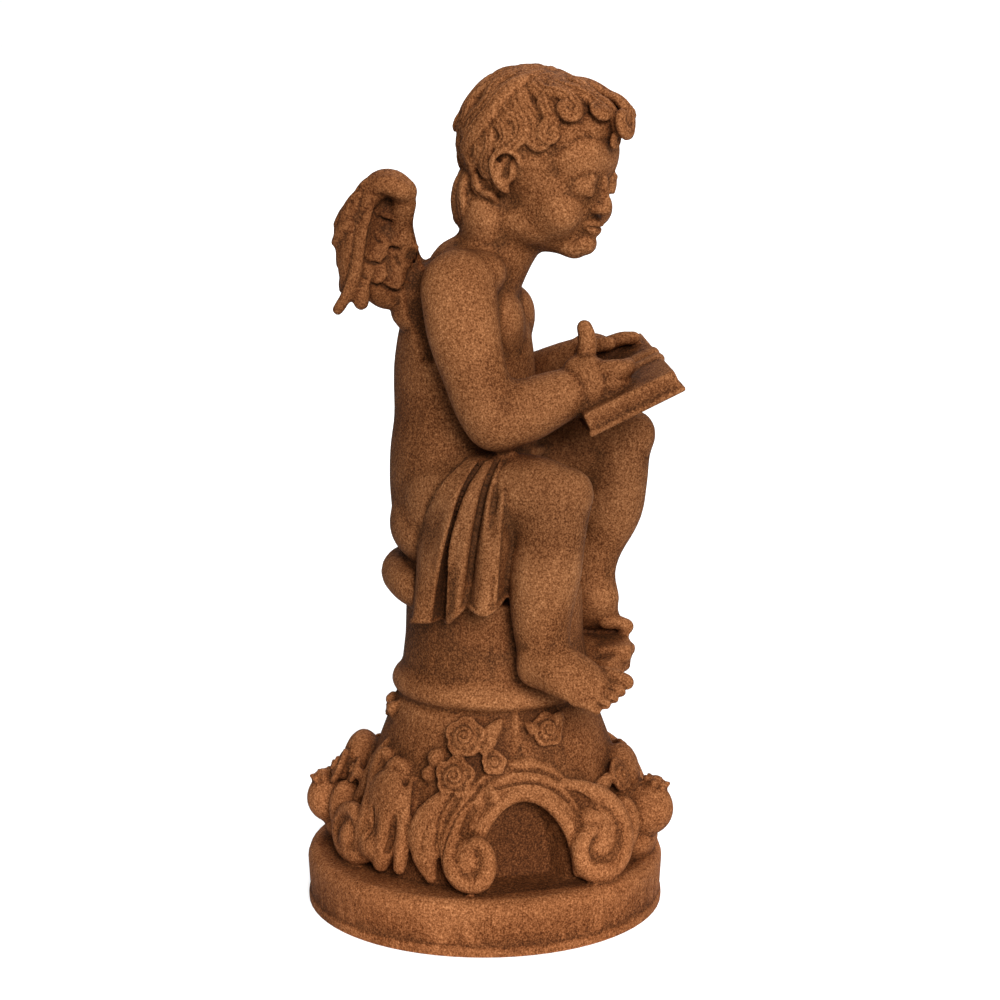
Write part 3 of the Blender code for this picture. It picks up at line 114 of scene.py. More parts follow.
def skin(bm, rings, tips):
    """Joins closed rings in order and shuts each end on its tip point."""
    rows = [[bm.verts.new(p) for p in ring] for ring in rings]
    n = len(rows[0])
    for a, b in zip(rows, rows[1:]):
        for i in range(n):
            bm.faces.new((a[i], a[(i + 1) % n], b[(i + 1) % n], b[i]))
    for row, tip, turn in ((rows[0], tips[0], 1), (rows[-1], tips[1], -1)):
        end = bm.verts.new(tip)
        for i in range(n):
            bm.faces.new((row[(i + 1) % n], row[i], end)[::turn])


def tube(bm, points, wide, thick=None, face=None, count=None, sides=10):
    """A round or flattened bar with rounded ends along a curve; face is the way its flat side looks."""
    count = count or max(6, 4 * len(points))
    path = smooth_path(points, count)
    wide = spread(wide, count)
    thick = wide if thick is None else spread(thick, count)
    tangent = np.gradient(path, axis=0)
    tangent /= np.linalg.norm(tangent, axis=1)[:, None]
    look = unit(np.cross(tangent[0], (0.31, 0.62, 0.72)))
    faces = None if face is None else np.atleast_2d(np.asarray(face, float))
    ring_angle = np.linspace(0, 2 * math.pi, sides, endpoint=False)
    stations = []
    for i in range(count):
        t = tangent[i]
        if faces is not None:
            look = faces[round(i * (len(faces) - 1) / (count - 1))]
        look = unit(look - t * look.dot(t))
        stations.append((path[i], np.cross(t, look), look, wide[i], thick[i]))

    def ring(centre, side, rise, w, h):
        return [centre + side * (w * math.cos(a)) + rise * (h * math.sin(a)) for a in ring_angle]

    def rounded_end(station, way):
        """The rings that draw in over one end, and its tip."""
        centre, side, rise, w, h = station
        way, rows = way * min(w, h), []
        for q in (75, 50, 20):
            k = math.sin(math.radians(q))
            rows.append(ring(centre + way * math.cos(math.radians(q)), side, rise, w * k, h * k))
        return rows, centre + way

    start, first = rounded_end(stations[0], -tangent[0])
    end, last = rounded_end(stations[-1], tangent[-1])
    skin(bm, start[::-1] + [ring(*station) for station in stations] + end, (first, last))


def ball(bm, centre, size, turn=(0, 0, 0), parts=16):
    """An ellipsoid of the given half sizes, turned by three angles in degrees."""
    size = (size,) * 3 if np.isscalar(size) else size
    spin = Euler([math.radians(a) for a in turn]).to_matrix().to_4x4()
    place = Matrix.Translation(Vector(centre)) @ spin @ Matrix.Diagonal((*size, 1.0))
    bmesh.ops.create_uvsphere(bm, u_segments=parts, v_segments=parts * 2 // 3, radius=1.0, matrix=place)


def block(bm, centre, axes, size, bevel):
    """A rectangular block on three given axes with rounded edges."""
    frame = Matrix([list(unit(a)) for a in axes]).transposed().to_4x4()
    place = Matrix.Translation(Vector(centre)) @ frame @ Matrix.Diagonal((*size, 1.0))
    new = bmesh.ops.create_cube(bm, size=1.0, matrix=place)["verts"]
    edges = list({e for v in new for e in v.link_edges})
    bmesh.ops.bevel(bm, geom=edges, offset=bevel, segments=2, profile=0.5, affect="EDGES")


def turned(bm, profile, centre, steps=72):
    """A body of revolution: the profile is a list of radius and height, from axis to axis."""
    row = [bm.verts.new((centre[0] + r, centre[1], z)) for r, z in profile]
    edges = [bm.edges.new(pair) for pair in zip(row, row[1:])]
    bmesh.ops.spin(bm, geom=row + edges, cent=(centre[0], centre[1], 0), axis=(0, 0, 1),
                   angle=2 * math.pi, steps=steps)
    bmesh.ops.remove_doubles(bm, verts=bm.verts, dist=0.0001)


def shape(builders, base=None):
    """One mesh holding every closed body made by the builders, laid over a base mesh."""
    whole = bmesh.new()
    if base:
        whole.from_mesh(base)
    for build in builders:
        bm = bmesh.new()
        build(bm)
        bmesh.ops.recalc_face_normals(bm, faces=bm.faces)
        part = bpy.data.meshes.new("part")
        bm.to_mesh(part)
        bm.free()
        whole.from_mesh(part)
        bpy.data.meshes.remove(part)
    mesh = bpy.data.meshes.new("clay")
    whole.to_mesh(mesh)
    whole.free()
    return mesh


def worked(mesh, *steps):
    """The mesh after a list of modifiers, each a type with its settings."""
    piece = bpy.data.objects.new("clay", mesh)
    bpy.context.scene.collection.objects.link(piece)
    for kind, settings in steps:
        tool = piece.modifiers.new(kind.lower(), kind)
        for key, value in settings.items():
            setattr(tool, key, value)
    piece.update_tag()
    bpy.context.view_layer.update()
    graph = bpy.context.evaluated_depsgraph_get()
    result = bpy.data.meshes.new_from_object(piece.evaluated_get(graph))
    bpy.data.objects.remove(piece)
    return result


def fused(mesh, cell, rounds):
    """Melts overlapping bodies into one skin of even cells, then eases it."""
    return worked(mesh, ("REMESH", dict(mode="VOXEL", voxel_size=cell, adaptivity=0.0)),
                  ("SMOOTH", dict(factor=0.5, iterations=rounds)))


def one_body(mesh):
    """Keeps the largest connected skin and drops sealed pockets and loose crumbs."""
    bm = bmesh.new()
    bm.from_mesh(mesh)
    left, bodies = set(bm.verts), []
    while left:
        group, edge = set(), {left.pop()}
        while edge:
            group |= edge
            edge = {e.other_vert(v) for v in edge for e in v.link_edges} - group
        left -= group
        bodies.append(group)
    bodies.sort(key=len)
    bmesh.ops.delete(bm, geom=[v for group in bodies[:-1] for v in group], context="VERTS")
    bm.to_mesh(mesh)
    bm.free()
    return mesh


def carved(mesh, cuts, finest):
    """Sinks grooves into the skin; a cut is a line of points, a half width and a depth."""
    points = np.empty(len(mesh.vertices) * 3)
    mesh.vertices.foreach_get("co", points)
    points = points.reshape(-1, 3)
    normals = np.array([n.vector for n in mesh.vertex_normals])
    sink = np.zeros(len(points))
    for line, width, depth in cuts:
        if width < finest:
            continue
        line = np.asarray(line, float)
        near = np.flatnonzero(((points > line.min(0) - width) & (points < line.max(0) + width)).all(1))
        spot, gap = points[near], np.full(len(near), np.inf)
        for a, b in zip(line, line[1:]):
            run = b - a
            along = np.clip(((spot - a) @ run) / max(run @ run, 1e-9), 0, 1)
            gap = np.minimum(gap, np.linalg.norm(spot - a - along[:, None] * run, axis=1))
        push = depth * np.clip(1 - (gap / width) ** 2, 0, 1) ** 1.5
        sink[near] = np.where(np.abs(push) > np.abs(sink[near]), push, sink[near])
    mesh.vertices.foreach_set("co", (points - normals * sink[:, None]).ravel())
    mesh.update()
    return mesh


# ---------------------------------------------------------------- base

def round_base(phi, rho, z):
    """A point around the column axis: angle from the front, distance, height."""
    a = math.radians(phi)
    return vec(rho * math.sin(a), COLUMN_Y - rho * math.cos(a), z)


def outward(phi):
    return vec(math.sin(math.radians(phi)), -math.cos(math.radians(phi)), 0)


def disk(bm):
    """The round foot plate, with a thin bead at the bottom and a rounded top edge."""
    turned(bm, [(0, 0), (DISK_R - 1.8, 0), (DISK_R - 0.8, 1.2), (DISK_R - 0.8, 4.6), (DISK_R - 1.8, 7.0),
                (DISK_R - 0.6, DISK_H - 7), (DISK_R - 2.2, DISK_H - 2.4), (DISK_R - 6.5, DISK_H),
                (0, DISK_H)], (0, 0))


FLARE = ((20, 92), (DISK_H, 91), (52, 90), (66, 88.5), (80, 86), (92, 82.5), (104, 78), (116, 73.5),
         (128, 69), (138, 65.5), (142, 62.5))


def flare(z):
    """Radius of the flared foot at a height."""
    return float(np.interp(z, [p[0] for p in FLARE], [p[1] for p in FLARE]))


def niche(phi, z):
    """One inside the hollow of an arch and zero outside it, with a soft edge."""
    rise = min(max((z - ARCH_FOOT) / (ARCH_TOP - ARCH_FOOT), 0), 1)
    half = ARCH_HALF * math.sqrt(1 - rise ** 2) if rise < 1 else 0
    off = abs(abs((phi + 180) % 360 - 180) - ARCH_AT)
    return min(max((half - off) / 3 + 0.5, 0), 1)


def flared_foot(bm):
    """The spreading foot under the collar, with a deep niche under each arch."""
    levels = list(np.linspace(20, ARCH_TOP + 2, 14)) + [z for z, _ in FLARE[6:]]
    rings = [[round_base(phi, flare(z) - niche(phi, z) * (flare(z) - NICHE_R), z)
              for phi in np.arange(0, 360, 2.5)] for z in levels]
    skin(bm, rings, (vec(0, COLUMN_Y, 20), vec(0, COLUMN_Y, 142)))


def column(bm):
    """The collar and the short column that the figure sits on."""
    turned(bm, [(0, 100), (60, 100), (61, 139), (62.6, 143), (66.6, 146.0), (67.8, 150.0),
                (66.4, 154.5), (62.6, 158.0), (60.5, 163), (58.5, 180), (57.5, 212), (0, 212)],
           (0, COLUMN_Y))


def on_foot(side, points, lift):
    """Points given by angle and height, laid on the flared foot and lifted off it."""
    lift = spread(lift, len(points))
    return [round_base(side * phi, flare(z) + up, z) for (phi, z), up in zip(points, lift)]


def arch_line(half, low, high):
    """The line of one moulding over an arch, foot to foot."""
    return [(ARCH_AT + half * math.cos(a), low + (high - low) * math.sin(a) ** 0.8)
            for a in np.linspace(0, math.pi, 15)]


MOULDINGS = (
    # half width of the arch in degrees, height of its top, how far it stands out at foot and top, bar size
    (20.5, 94.5, 9.0, 2.0, 4.6), (24.0, 99.5, 6.0, 1.5, 3.4), (28.0, 106.0, 3.0, 0.6, 3.0),
    (32.5, 112.5, 1.0, 0.2, 2.8))


def arches(bm):
    """The stepped mouldings over the arch on each side."""
    for side in (-1, 1):
        for half, top, foot_lift, top_lift, size in MOULDINGS:
            pts = arch_line(half, 44, top)
            lift = [foot_lift + (top_lift - foot_lift) * math.sin(a) for a in np.linspace(0, math.pi, 15)]
            tube(bm, on_foot(side, pts, lift), [size] * 2, [size * 0.8] * 2, face=outward(side * ARCH_AT),
                 count=30)


def band(bm, side, route, lift, wide, thick, count=34):
    """A flattened band laid along a route of angles and heights on the foot."""
    pts = on_foot(side, route, lift)
    faces = [outward(side * phi) for phi, _ in route]
    tube(bm, pts, wide, thick, face=faces, count=count, sides=12)


def scrolls(bm):
    """The scroll ends: a thick band rolled round a filled body, three to a side."""
    for side in (-1, 1):
        # in front of the arch
        ball(bm, round_base(side * 36, 91.5, 61), (19, 13, 22), (0, 0, side * 36), 18)
        band(bm, side, [(48, 99), (38, 93), (29, 82), (25.5, 67), (26.5, 53), (32, 43.5), (40, 42.5),
                        (46.5, 50), (47, 62), (43, 70), (38.5, 69)],
             (2, 5, 9, 11, 12, 12, 12, 12, 12, 12, 10),
             (3, 5.5, 7, 8, 9, 9, 8.5, 8, 6.5, 5, 4), (3, 5, 6, 7, 7.5, 7.5, 7, 7, 6, 5.5, 5))
        # behind the arch
        ball(bm, round_base(side * 89, 96, 56), (12, 13.5, 16), (0, 0, side * 88), 16)
        ball(bm, round_base(side * 93, 79, 91), (13, 10, 13), (0, 0, side * 93), 14)
        band(bm, side, [(90, 96), (94, 84), (96, 70), (95, 56), (91, 46), (85, 45.5), (82, 55), (83, 66),
                        (87, 70), (89, 65)], (3, 6, 9, 12, 14, 15, 15, 14, 13, 11),
             (3, 4, 5, 6.5, 7.5, 7.5, 7, 5.5, 4.5, 3.5), (3, 4, 5, 6.5, 7.5, 7.5, 7, 6, 5, 4.5))
        # the small hook at the back of the leaf bundle
        ball(bm, round_base(side * 145, 97, 53), (13, 14, 14), (0, 0, side * 145), 16)
        ball(bm, round_base(side * 131, 96, 54), (15, 12, 12), (0, 0, side * 131), 16)
        ball(bm, round_base(side * 129, 88, 70), (23, 12, 34), (0, 0, side * 129), 18)
        band(bm, side, [(135, 47), (142, 44), (150, 46), (155, 55), (152, 67), (145, 71), (141, 66)],
             (10, 12, 13, 14, 13, 12, 11), (6, 8, 8.5, 7.5, 6.5, 5.5, 4.5), (5, 7, 8, 7.5, 6.5, 6, 5))


LEAF_BANDS = (
    # route as angles and heights, how far it stands off the foot, half widths, half thicknesses, count;
    # first the ribs that hook over at the top and run down to rounded toes on the disk
    ([(125, 88), (125, 100), (129.5, 106), (131, 98), (128, 88), (126, 76), (125, 64), (125.5, 52),
      (126.5, 44)], (1, 2, 4, 5.5, 6.5, 8, 9.5, 10.5, 10),
     (4, 5, 6.5, 8, 8, 7.5, 7.5, 7.5, 6), (3, 4, 4.5, 5, 5.5, 6, 6, 6.5, 5), 34),
    ([(137, 92), (138, 103), (142.5, 108), (143, 99), (139, 86), (138, 74), (138, 62), (137.5, 50),
      (137, 44)], (1, 2, 4, 5.5, 6.5, 8, 9.5, 10.5, 10),
     (4, 5, 6.5, 8, 8, 8, 8, 7.5, 6), (3, 4, 4.5, 5, 5.5, 6, 6, 6.5, 5), 34),
    ([(120, 98), (118, 84), (117, 70), (117, 56), (118, 44)], (2, 4.5, 6.5, 8, 8),
     (3.5, 5, 5.5, 5.5, 4.5), (3, 5, 5.5, 5.5, 4), 24),
    ([(149, 112), (153, 98), (153, 84), (156, 72)], (0, 2, 3, 5), (3, 5, 6, 5), (3, 4, 4, 4), 18),
    # the broad leaf between bundle and arch, pointed at the disk
    ([(97, 97), (101.5, 88), (105, 78), (106.5, 67), (106, 55), (103.5, 43)], (2, 4, 6, 8, 9, 9),
     (5, 10, 13.5, 13, 9.5, 4), (3, 5, 6, 6, 5.5, 4), 24))


def acanthus(bm):
    """The leaf bundle and the broad leaf beside each arch."""
    for side in (-1, 1):
        for strip in LEAF_BANDS:
            band(bm, side, *strip)


def fruit(bm, phi, rho, z, size, tip):
    """A round fruit whose crown of six sepals looks toward the tip."""
    centre = round_base(phi, rho, z)
    ball(bm, centre, (size * 0.98, size, size * 1.0), parts=18)
    crown = unit(tip)
    ball(bm, centre + crown * size * 0.93, size * 0.36, parts=10)
    side = unit(np.cross(crown, (0.2, 0.3, 0.9)))
    for k in range(6):
        a = k * math.pi / 3
        lean = side * math.cos(a) + np.cross(crown, side) * math.sin(a)
        root = centre + crown * size * 0.92 + lean * size * 0.20
        tube(bm, [root, root + crown * size * 0.18 + lean * size * 0.26], [size * 0.20, size * 0.12],
             count=4, sides=6)


def leaf(bm, root, tip, width, lift, look):
    """A pointed leaf raised on a centre vein, bowed away from the surface behind it."""
    root, tip, look = np.array(root), np.array(tip), unit(look)
    mid = (root + tip) / 2 + look * lift
    tube(bm, [root, mid, tip], [width * 0.35, width * 0.95, width, width * 0.75, width * 0.22],
         [1.9, 2.4, 2.5, 2.1, 1.2], face=look, count=10, sides=8)
    tube(bm, [root + look * 1.9, mid + look * 2.4, tip + look * 0.6], [1.1, 1.2, 0.7], count=8, sides=6)


def rose_axes(phi, rho, z):
    """A rose's middle, the way it faces, and two axes across it."""
    out = unit(outward(phi) + vec(0, 0, 0.45))
    side = unit(np.cross(out, (0, 0, 1)))
    return round_base(phi, rho, z), out, side, np.cross(side, out)


def rose(bm, phi, rho, z, size):
    """An open rose: five outer petals with turned-back rims around a low dome."""
    centre, out, side, rise = rose_axes(phi, rho, z)
    ball(bm, centre - out * size * 0.24, (size * 0.74,) * 3, parts=16)
    for k in range(5):
        a = math.radians(20 + 72 * k)
        d = side * math.cos(a) + rise * math.sin(a)
        along = np.cross(out, d)
        mid = centre + d * size * 0.66 - out * size * 0.10
        tube(bm, [mid - along * size * 0.42, mid + d * size * 0.12, mid + along * size * 0.42],
             [size * 0.22, size * 0.38, size * 0.22], [size * 0.20] * 2, face=out, count=7, sides=8)
        rim = [mid - along * size * 0.52 - d * size * 0.05, mid - along * size * 0.26 + d * size * 0.30,
               mid + along * size * 0.26 + d * size * 0.30, mid + along * size * 0.52 - d * size * 0.05]
        tube(bm, [p + out * size * 0.12 for p in rim], [size * 0.10, size * 0.13, size * 0.10], count=9,
             sides=6)


def rose_cuts():
    """The spiral groove that winds each rose's inner petals."""
    cuts = []
    for phi, rho, z, size in all_roses():
        centre, out, side, rise = rose_axes(phi, rho, z)
        line = []
        for q in np.linspace(0, 1, 26):
            a, reach = 0.6 + 11.5 * q, size * (0.66 - 0.56 * q)
            swell = size * (math.sqrt(0.74 ** 2 - (reach / size) ** 2) - 0.24)
            line.append(centre + out * swell + (side * math.cos(a) + rise * math.sin(a)) * reach)
        cuts.append((line, 1.3, 1.3))
    return cuts


ROSES = (
    # angle, distance, height, size
    (94.5, 74, 130, 12.0), (97.5, 82.5, 106, 12.0), (80, 79, 115, 7.5), (51.5, 71, 132, 10.5),
    (16, 91, 95, 10.5), (170, 104, 88, 11.0), (161, 94, 90, 8.0), (166, 69, 132, 7.0))
LEAVES = (
    # root and tip as angle, distance and height, then the half width
    ((87, 73, 124), (75.5, 67.5, 141), 6.2), ((86, 76, 120), (78, 73, 131), 4.0),
    ((87, 82, 98), (86, 86, 82), 5.4), ((82, 83, 100), (77, 86, 87), 4.2),
    ((48, 70, 134), (40, 67, 141), 5.5), ((57, 71, 130), (64, 68.5, 138), 4.6),
    ((21, 89, 97), (36, 85.5, 87), 6.5), ((12, 91, 90), (1, 93, 82), 5.5),
    ((163, 94, 92), (153, 89, 88), 6.0), ((163, 68, 130), (168, 67, 140), 5.0),
    ((159, 68.5, 128), (152, 67.5, 138), 5.0))


def flowers(bm):
    """The buds, leaves and heaped fruit round the foot."""
    for side in (-1, 1):
        for phi, z, r in ((108.5, 115, 6.6), (111.5, 104.5, 5.0)):
            ball(bm, round_base(side * phi, flare(z) + 2.5, z), r, parts=12)
        for (p0, r0, z0), (p1, r1, z1), wide in LEAVES:
            leaf(bm, round_base(side * p0, r0, z0), round_base(side * p1, r1, z1), wide, 2.2,
                 outward(side * (p0 + p1) / 2) + vec(0, 0, 0.2))
    for phi, lean in ((0, 0), (180, 6)):
        # the heaps of fruit at front and back
        ball(bm, round_base(phi, 84 + lean, 82), (24, 14, 26), (0, 0, phi))
        ball(bm, round_base(phi, 96 + lean, 46), (25, 14, 15), (0, 0, phi))
        for side in (-1, 1):
            tall = phi + (side * (1 if phi == 0 else -1)) * 17
            ball(bm, round_base(tall, 93 + lean, 62), (10, 12, 20), (0, 0, phi))
    fruit(bm, -FRONT_FRUIT, 103, 67, 18.2, (0.1, -0.35, 1))
    fruit(bm, FRONT_FRUIT + 17, 101, 55, 14.5, (0.3, -0.3, 1))
    fruit(bm, 180 + FRONT_FRUIT, 110.5, 62, 16.8, (-0.1, 0.35, 1))
    fruit(bm, 180 - FRONT_FRUIT - 16, 105, 53, 13.5, (0.3, 0.3, 1))


def all_roses():
    """Both sides' roses; on the left the heaps' roses sit a little lower."""
    return [(side * phi, rho, z - (9 if side > 0 and rho > 90 else 0), size)
            for side in (-1, 1) for phi, rho, z, size in ROSES]


def roses(bm):
    for place in all_roses():
        rose(bm, *place)


BASE_CUTS = (
    # route as angles and heights, how far off the foot, half width, depth; first two over the arch
    ([(80, 99), (68, 102.5), (58, 100.4), (48, 89.5), (43, 79)], (3, 3.5, 3.5, 4, 10), 1.8, 1.6),
    ([(70, 109), (57, 107), (47, 98.7), (38.5, 86), (36, 76)], (1.5, 1.8, 3, 7, 12), 1.8, 1.5),
    # between the ribs of the leaf bundle
    ([(121, 98), (120.6, 88), (121, 76), (121, 63), (122, 54)], (6, 8, 10, 12, 13), 2.8, 3.4),
    ([(133, 98), (133, 88), (131.8, 76), (131.5, 66), (131.5, 58)], (7, 9, 12, 14, 15), 2.8, 3.2),
    ([(147, 72), (143.5, 66), (142.5, 56), (143, 46)], (12, 14, 15, 16), 2.2, 2.6),
    ([(117, 99), (114, 80), (113, 69), (112, 57), (110, 46)], (3, 6, 8, 9, 11), 2.6, 2.6),
    # beside the broad leaf
    ([(93, 104), (97, 97), (101, 84), (101.5, 66)], (4, 6, 10, 13), 1.7, 1.6),
    ([(86, 101), (88.5, 95), (94, 85), (97, 73), (98.5, 56), (98, 45)], (3, 5, 9, 13, 16, 16), 2.0, 2.2),
    # inside the scroll ends, and the vein of the broad leaf
    ([(89.5, 75), (88, 67), (86, 64)], (18, 20, 20), 1.7, 2.0),
    ([(42, 77), (39.5, 73), (37, 68)], (15, 17, 17), 1.7, 2.2),
    ([(103, 84), (106, 72), (106.5, 58)], (10, 13, 14), 1.2, 0.7))


def base_cuts():
    """The roses' spirals and the grooves of the foot, the same on both sides."""
    return rose_cuts() + [(smooth_path(on_foot(side, route, lift), 16), wide, deep)
                          for side in (-1, 1) for route, lift, wide, deep in BASE_CUTS]


# ---------------------------------------------------------------- seated figure

def torso(bm):
    """The trunk, seat, belly, shoulders, neck and chest."""
    levels = [(226, 12, 46, 38), (240, 11, 51, 43), (256, 13, 55, 47), (275, 14, 54, 48), (298, 14, 49, 48),
              (322, 12, 46, 47), (346, 13, 44, 46.5), (370, 13, 45, 46), (392, 14, 46, 43.5),
              (405, 13, 41, 37), (415, 11, 30, 27)]
    tube(bm, [(0, y, z) for z, y, _, _ in levels], [w for _, _, w, _ in levels],
         [d for _, _, _, d in levels], face=(0, 1, 0), count=28, sides=28)
    ball(bm, (-26, 28, 258), (29, 30, 28), parts=20)
    ball(bm, (26, 28, 258), (29, 30, 28), parts=20)
    ball(bm, (0, -4, 322), (34, 32, 34), parts=20)
    tube(bm, [(-46, 7, 413), (-24, 8, 421), (0, 10, 420), (24, 9, 415), (46, 8, 409)],
         [20, 20, 23, 20, 20], [17, 15, 15, 15, 17], face=(0, 0, 1), sides=14)
    tube(bm, [(0, 6, 404), (0, -7, 430), (0, -18, 452)], [27, 25, 26], sides=18)
    ball(bm, (-34, -4, 420), (17, 18, 14), (0, 20, 0), 14)
    for s in (-1, 1):
        ball(bm, (s * 20, -16, 387), (21, 14.5, 21), parts=16)
        ball(bm, (s * 25, 37, 408), (16, 12, 18), (0, -s * 12, 0), 14)


ARMS = (
    # the line of each limb, upper half then lower, and its half widths
    ([(-47, 8, 412), (-56, 2, 382), (-62, -10, 346), (-62, -18, 332)], [24.5, 23.5, 20.5, 20]),
    ([(-62, -18, 331), (-55, -36, 337), (-46, -53, 344), (-39, -66, 349)], [20, 21, 18.5, 15.5]),
    ([(47, 10, 412), (55, 10, 380), (58, 2, 346), (57, -8, 333)], [24, 22, 20, 19]),
    ([(57, -8, 332), (50, -28, 342), (42, -46, 352), (37, -58, 358)], [19, 19, 17, 14.5]))
LEGS = (
    ([(-30, 16, 272), (-44, -14, 280), (-57, -42, 284), (-60, -54, 281)], [33, 31, 27, 24.5]),
    ([(-60, -54, 280), (-61, -52, 256), (-62, -49, 232), (-61, -47.5, 208), (-60, -48, 190)],
     [24.5, 23, 24, 20.5, 17.5]),
    ([(30, 14, 276), (40, -24, 290), (48, -62, 301), (50, -80, 302)], [33, 30, 25.5, 22.5]),
    ([(50, -80, 300), (50, -80, 276), (50, -76, 250), (49, -67, 226), (48, -64, 206), (48, -66, 194)],
     [23, 21.5, 21.5, 17.5, 16, 18]))


def arms(bm):
    for line, wide in ARMS:
        tube(bm, line, wide, sides=18)


def legs(bm):
    for line, wide in LEGS:
        tube(bm, line, wide, sides=20)


def leg_fat(bm):
    """Knee caps, calves and the soft rolls at the ankles."""
    for s, knee, calf, ankle in ((-1, (-60, -66, 286), (-63, -44, 243), (-60, -48, 200)),
                                 (1, (50, -92, 306), (51, -67, 260), (48, -65, 214))):
        ball(bm, knee, (17, 15, 17), parts=16)
        ball(bm, calf, (19, 18, 25), parts=16)
        ball(bm, ankle, (18.5 if s < 0 else 16.5, 18 if s < 0 else 16, 9), parts=16)


def foot_frame(heel, big, little):
    """Axes of a foot: ahead, across from the big toe to the little one, and up from the sole."""
    heel, big, little = (np.array(p, float) for p in (heel, big, little))
    ahead = unit((big + little) / 2 - heel)
    across = little - big
    across = unit(across - ahead * across.dot(ahead))
    rise = np.cross(across, ahead)
    return heel, big, little, ahead, across, rise if rise[2] > 0 else -rise


def foot(bm, heel, big, little, high):
    """A plump foot from its heel to the row of toe tips."""
    heel, big, little, ahead, _, rise = foot_frame(heel, big, little)
    toe = (big + little) / 2 - ahead * 5
    half = np.linalg.norm(little - big) / 2
    ball(bm, heel + rise * 2 + ahead, (14, 14, 14), parts=16)
    tube(bm, [heel + rise * 4, heel * 0.60 + toe * 0.40 + rise * high * 0.26,
              heel * 0.30 + toe * 0.70 + rise * high * 0.13, toe],
         [13, half * 1.15, half * 1.25, half * 1.05], [15, high * 0.66, high * 0.46, high * 0.25],
         face=rise, count=14, sides=16)


FEET = (((-65, -44, 174), (-61, -99, 168), (-87, -87, 155), 24),
        ((46, -50, 183), (46, -86, 176), (71, -77, 174), 30))


def feet(bm):
    for heel, big, little, high in FEET:
        foot(bm, heel, big, little, high)


def all_toes(bm):
    """Five toes on each foot, from the big one outward."""
    for place in FEET:
        _, big, little, ahead, _, rise = foot_frame(*place[:3])
        for share, reach, size in ((0, 2.6, 5.4), (0.30, 4.0, 3.7), (0.53, 3.2, 3.5), (0.76, 1.6, 3.4),
                                   (0.98, -1.0, 3.4)):
            tip = big * (1 - share) + little * share + ahead * reach
            tube(bm, [tip - ahead * 15 + rise * 0.5, tip - ahead * 6 + rise * 1.4, tip],
                 [size, size * 0.92, size], count=8, sides=10)


def step(bm):
    """The rough ledge that stands out under the left foot."""
    ball(bm, (34, -60, 158), (27, 26, 13), (8, 0, -20), 12)
    for centre, turn, size in (((36, -71, 163), 12, (36, 42, 11)), ((26, -73, 154), -24, (30, 34, 15)),
                               ((48, -72, 155), 38, (24, 34, 13)), ((34, -86, 161), -6, (18, 18, 8))):
        a = math.radians(turn)
        block(bm, centre, ((math.cos(a), math.sin(a), 0.12), (-math.sin(a), math.cos(a), -0.1), (0, 0, 1)),
              size, 2.5)


def at_head(points):
    """Points of the head's own frame, set on the neck."""
    return [tuple(HEAD @ Vector(p)) for p in points]


def head_ball(bm, centre, size, parts=16, turn=(0, 0, 0)):
    lean = (HEAD.to_3x3().normalized() @ Euler([math.radians(a) for a in turn]).to_matrix()).to_euler()
    ball(bm, at_head([centre])[0], [s * HEAD_SIZE for s in size], [math.degrees(a) for a in lean], parts)


def head_tube(bm, points, wide, thick=None, face=None, **more):
    wide = [w * HEAD_SIZE for w in np.atleast_1d(wide)]
    thick = None if thick is None else [w * HEAD_SIZE for w in np.atleast_1d(thick)]
    face = None if face is None else [tuple(HEAD.to_3x3() @ Vector(f)) for f in np.atleast_2d(face)]
    tube(bm, at_head(points), wide, thick, face, **more)


def head_mass(bm):
    """The bare mass of the head, in its own frame."""
    head_ball(bm, (0, 7, 11), (44, 50, 44), 28)
    head_ball(bm, (0, -17, -12), (37, 32, 42), 24)
    head_ball(bm, (0, -33, 16), (34, 17, 26), 20)
    for s in (-1, 1):
        head_ball(bm, (s * 20, -28, -23), (18, 18, 17), 18)
        head_ball(bm, (s * 19, -8, -34), (19, 24, 16), 16)
    head_ball(bm, (0, -36, -44), (15, 13, 11), 16)
    head_ball(bm, (0, -14, -42), (22, 24, 13), 16)
    ball(bm, (0, -6, 452), (32, 22, 30), parts=18)


def face(bm):
    """A calm child's face of plain school proportions: eyes half way down, lids lowered."""
    head_tube(bm, [(0, -47, 3), (0, -49, -5), (0, -51.5, -11), (0, -52.5, -14.5)], [4.2, 4.4, 5.0, 5.8],
              count=9)
    for s in (-1, 1):
        head_ball(bm, (s * 5.4, -50.5, -15.5), (3.8, 4.4, 3.6))
        head_ball(bm, (s * 16, -41.2, -1.5), (9.8, 8.6, 7.4))
        head_tube(bm, [(s * 7.5, -46.2, -3.8), (s * 16, -49.2, -5.8), (s * 25, -43.4, -3.6)],
                  [0.9, 1.6, 0.9], count=11, sides=7)
        head_tube(bm, [(s * 7.5, -46.2, 2.6), (s * 16, -49.0, 5.4), (s * 25.5, -43.2, 2.2)],
                  [0.9, 1.5, 0.9], count=11, sides=7)
        head_tube(bm, [(s * 7, -46.2, 10), (s * 16, -45.6, 13), (s * 25, -41.2, 11)], [1.6, 2.2, 1.6],
                  count=9)
        head_ball(bm, (s * 22, -31, -21), (16, 16, 15), 18)
    head_tube(bm, [(-8.5, -47.2, -27.0), (-4.2, -50.6, -25.6), (0, -51.0, -26.4), (4.2, -50.6, -25.6),
                   (8.5, -47.2, -27.0)],
              [1.6, 2.8, 2.9, 2.8, 1.6], count=13, sides=8)
    head_tube(bm, [(-7, -47.5, -29.8), (-3, -50.0, -31.4), (3, -50.0, -31.4), (7, -47.5, -29.8)],
              [1.8, 3.2, 3.2, 1.8], count=11, sides=8)
    head_ball(bm, (0, -44.5, -41.5), (10, 7.5, 8))


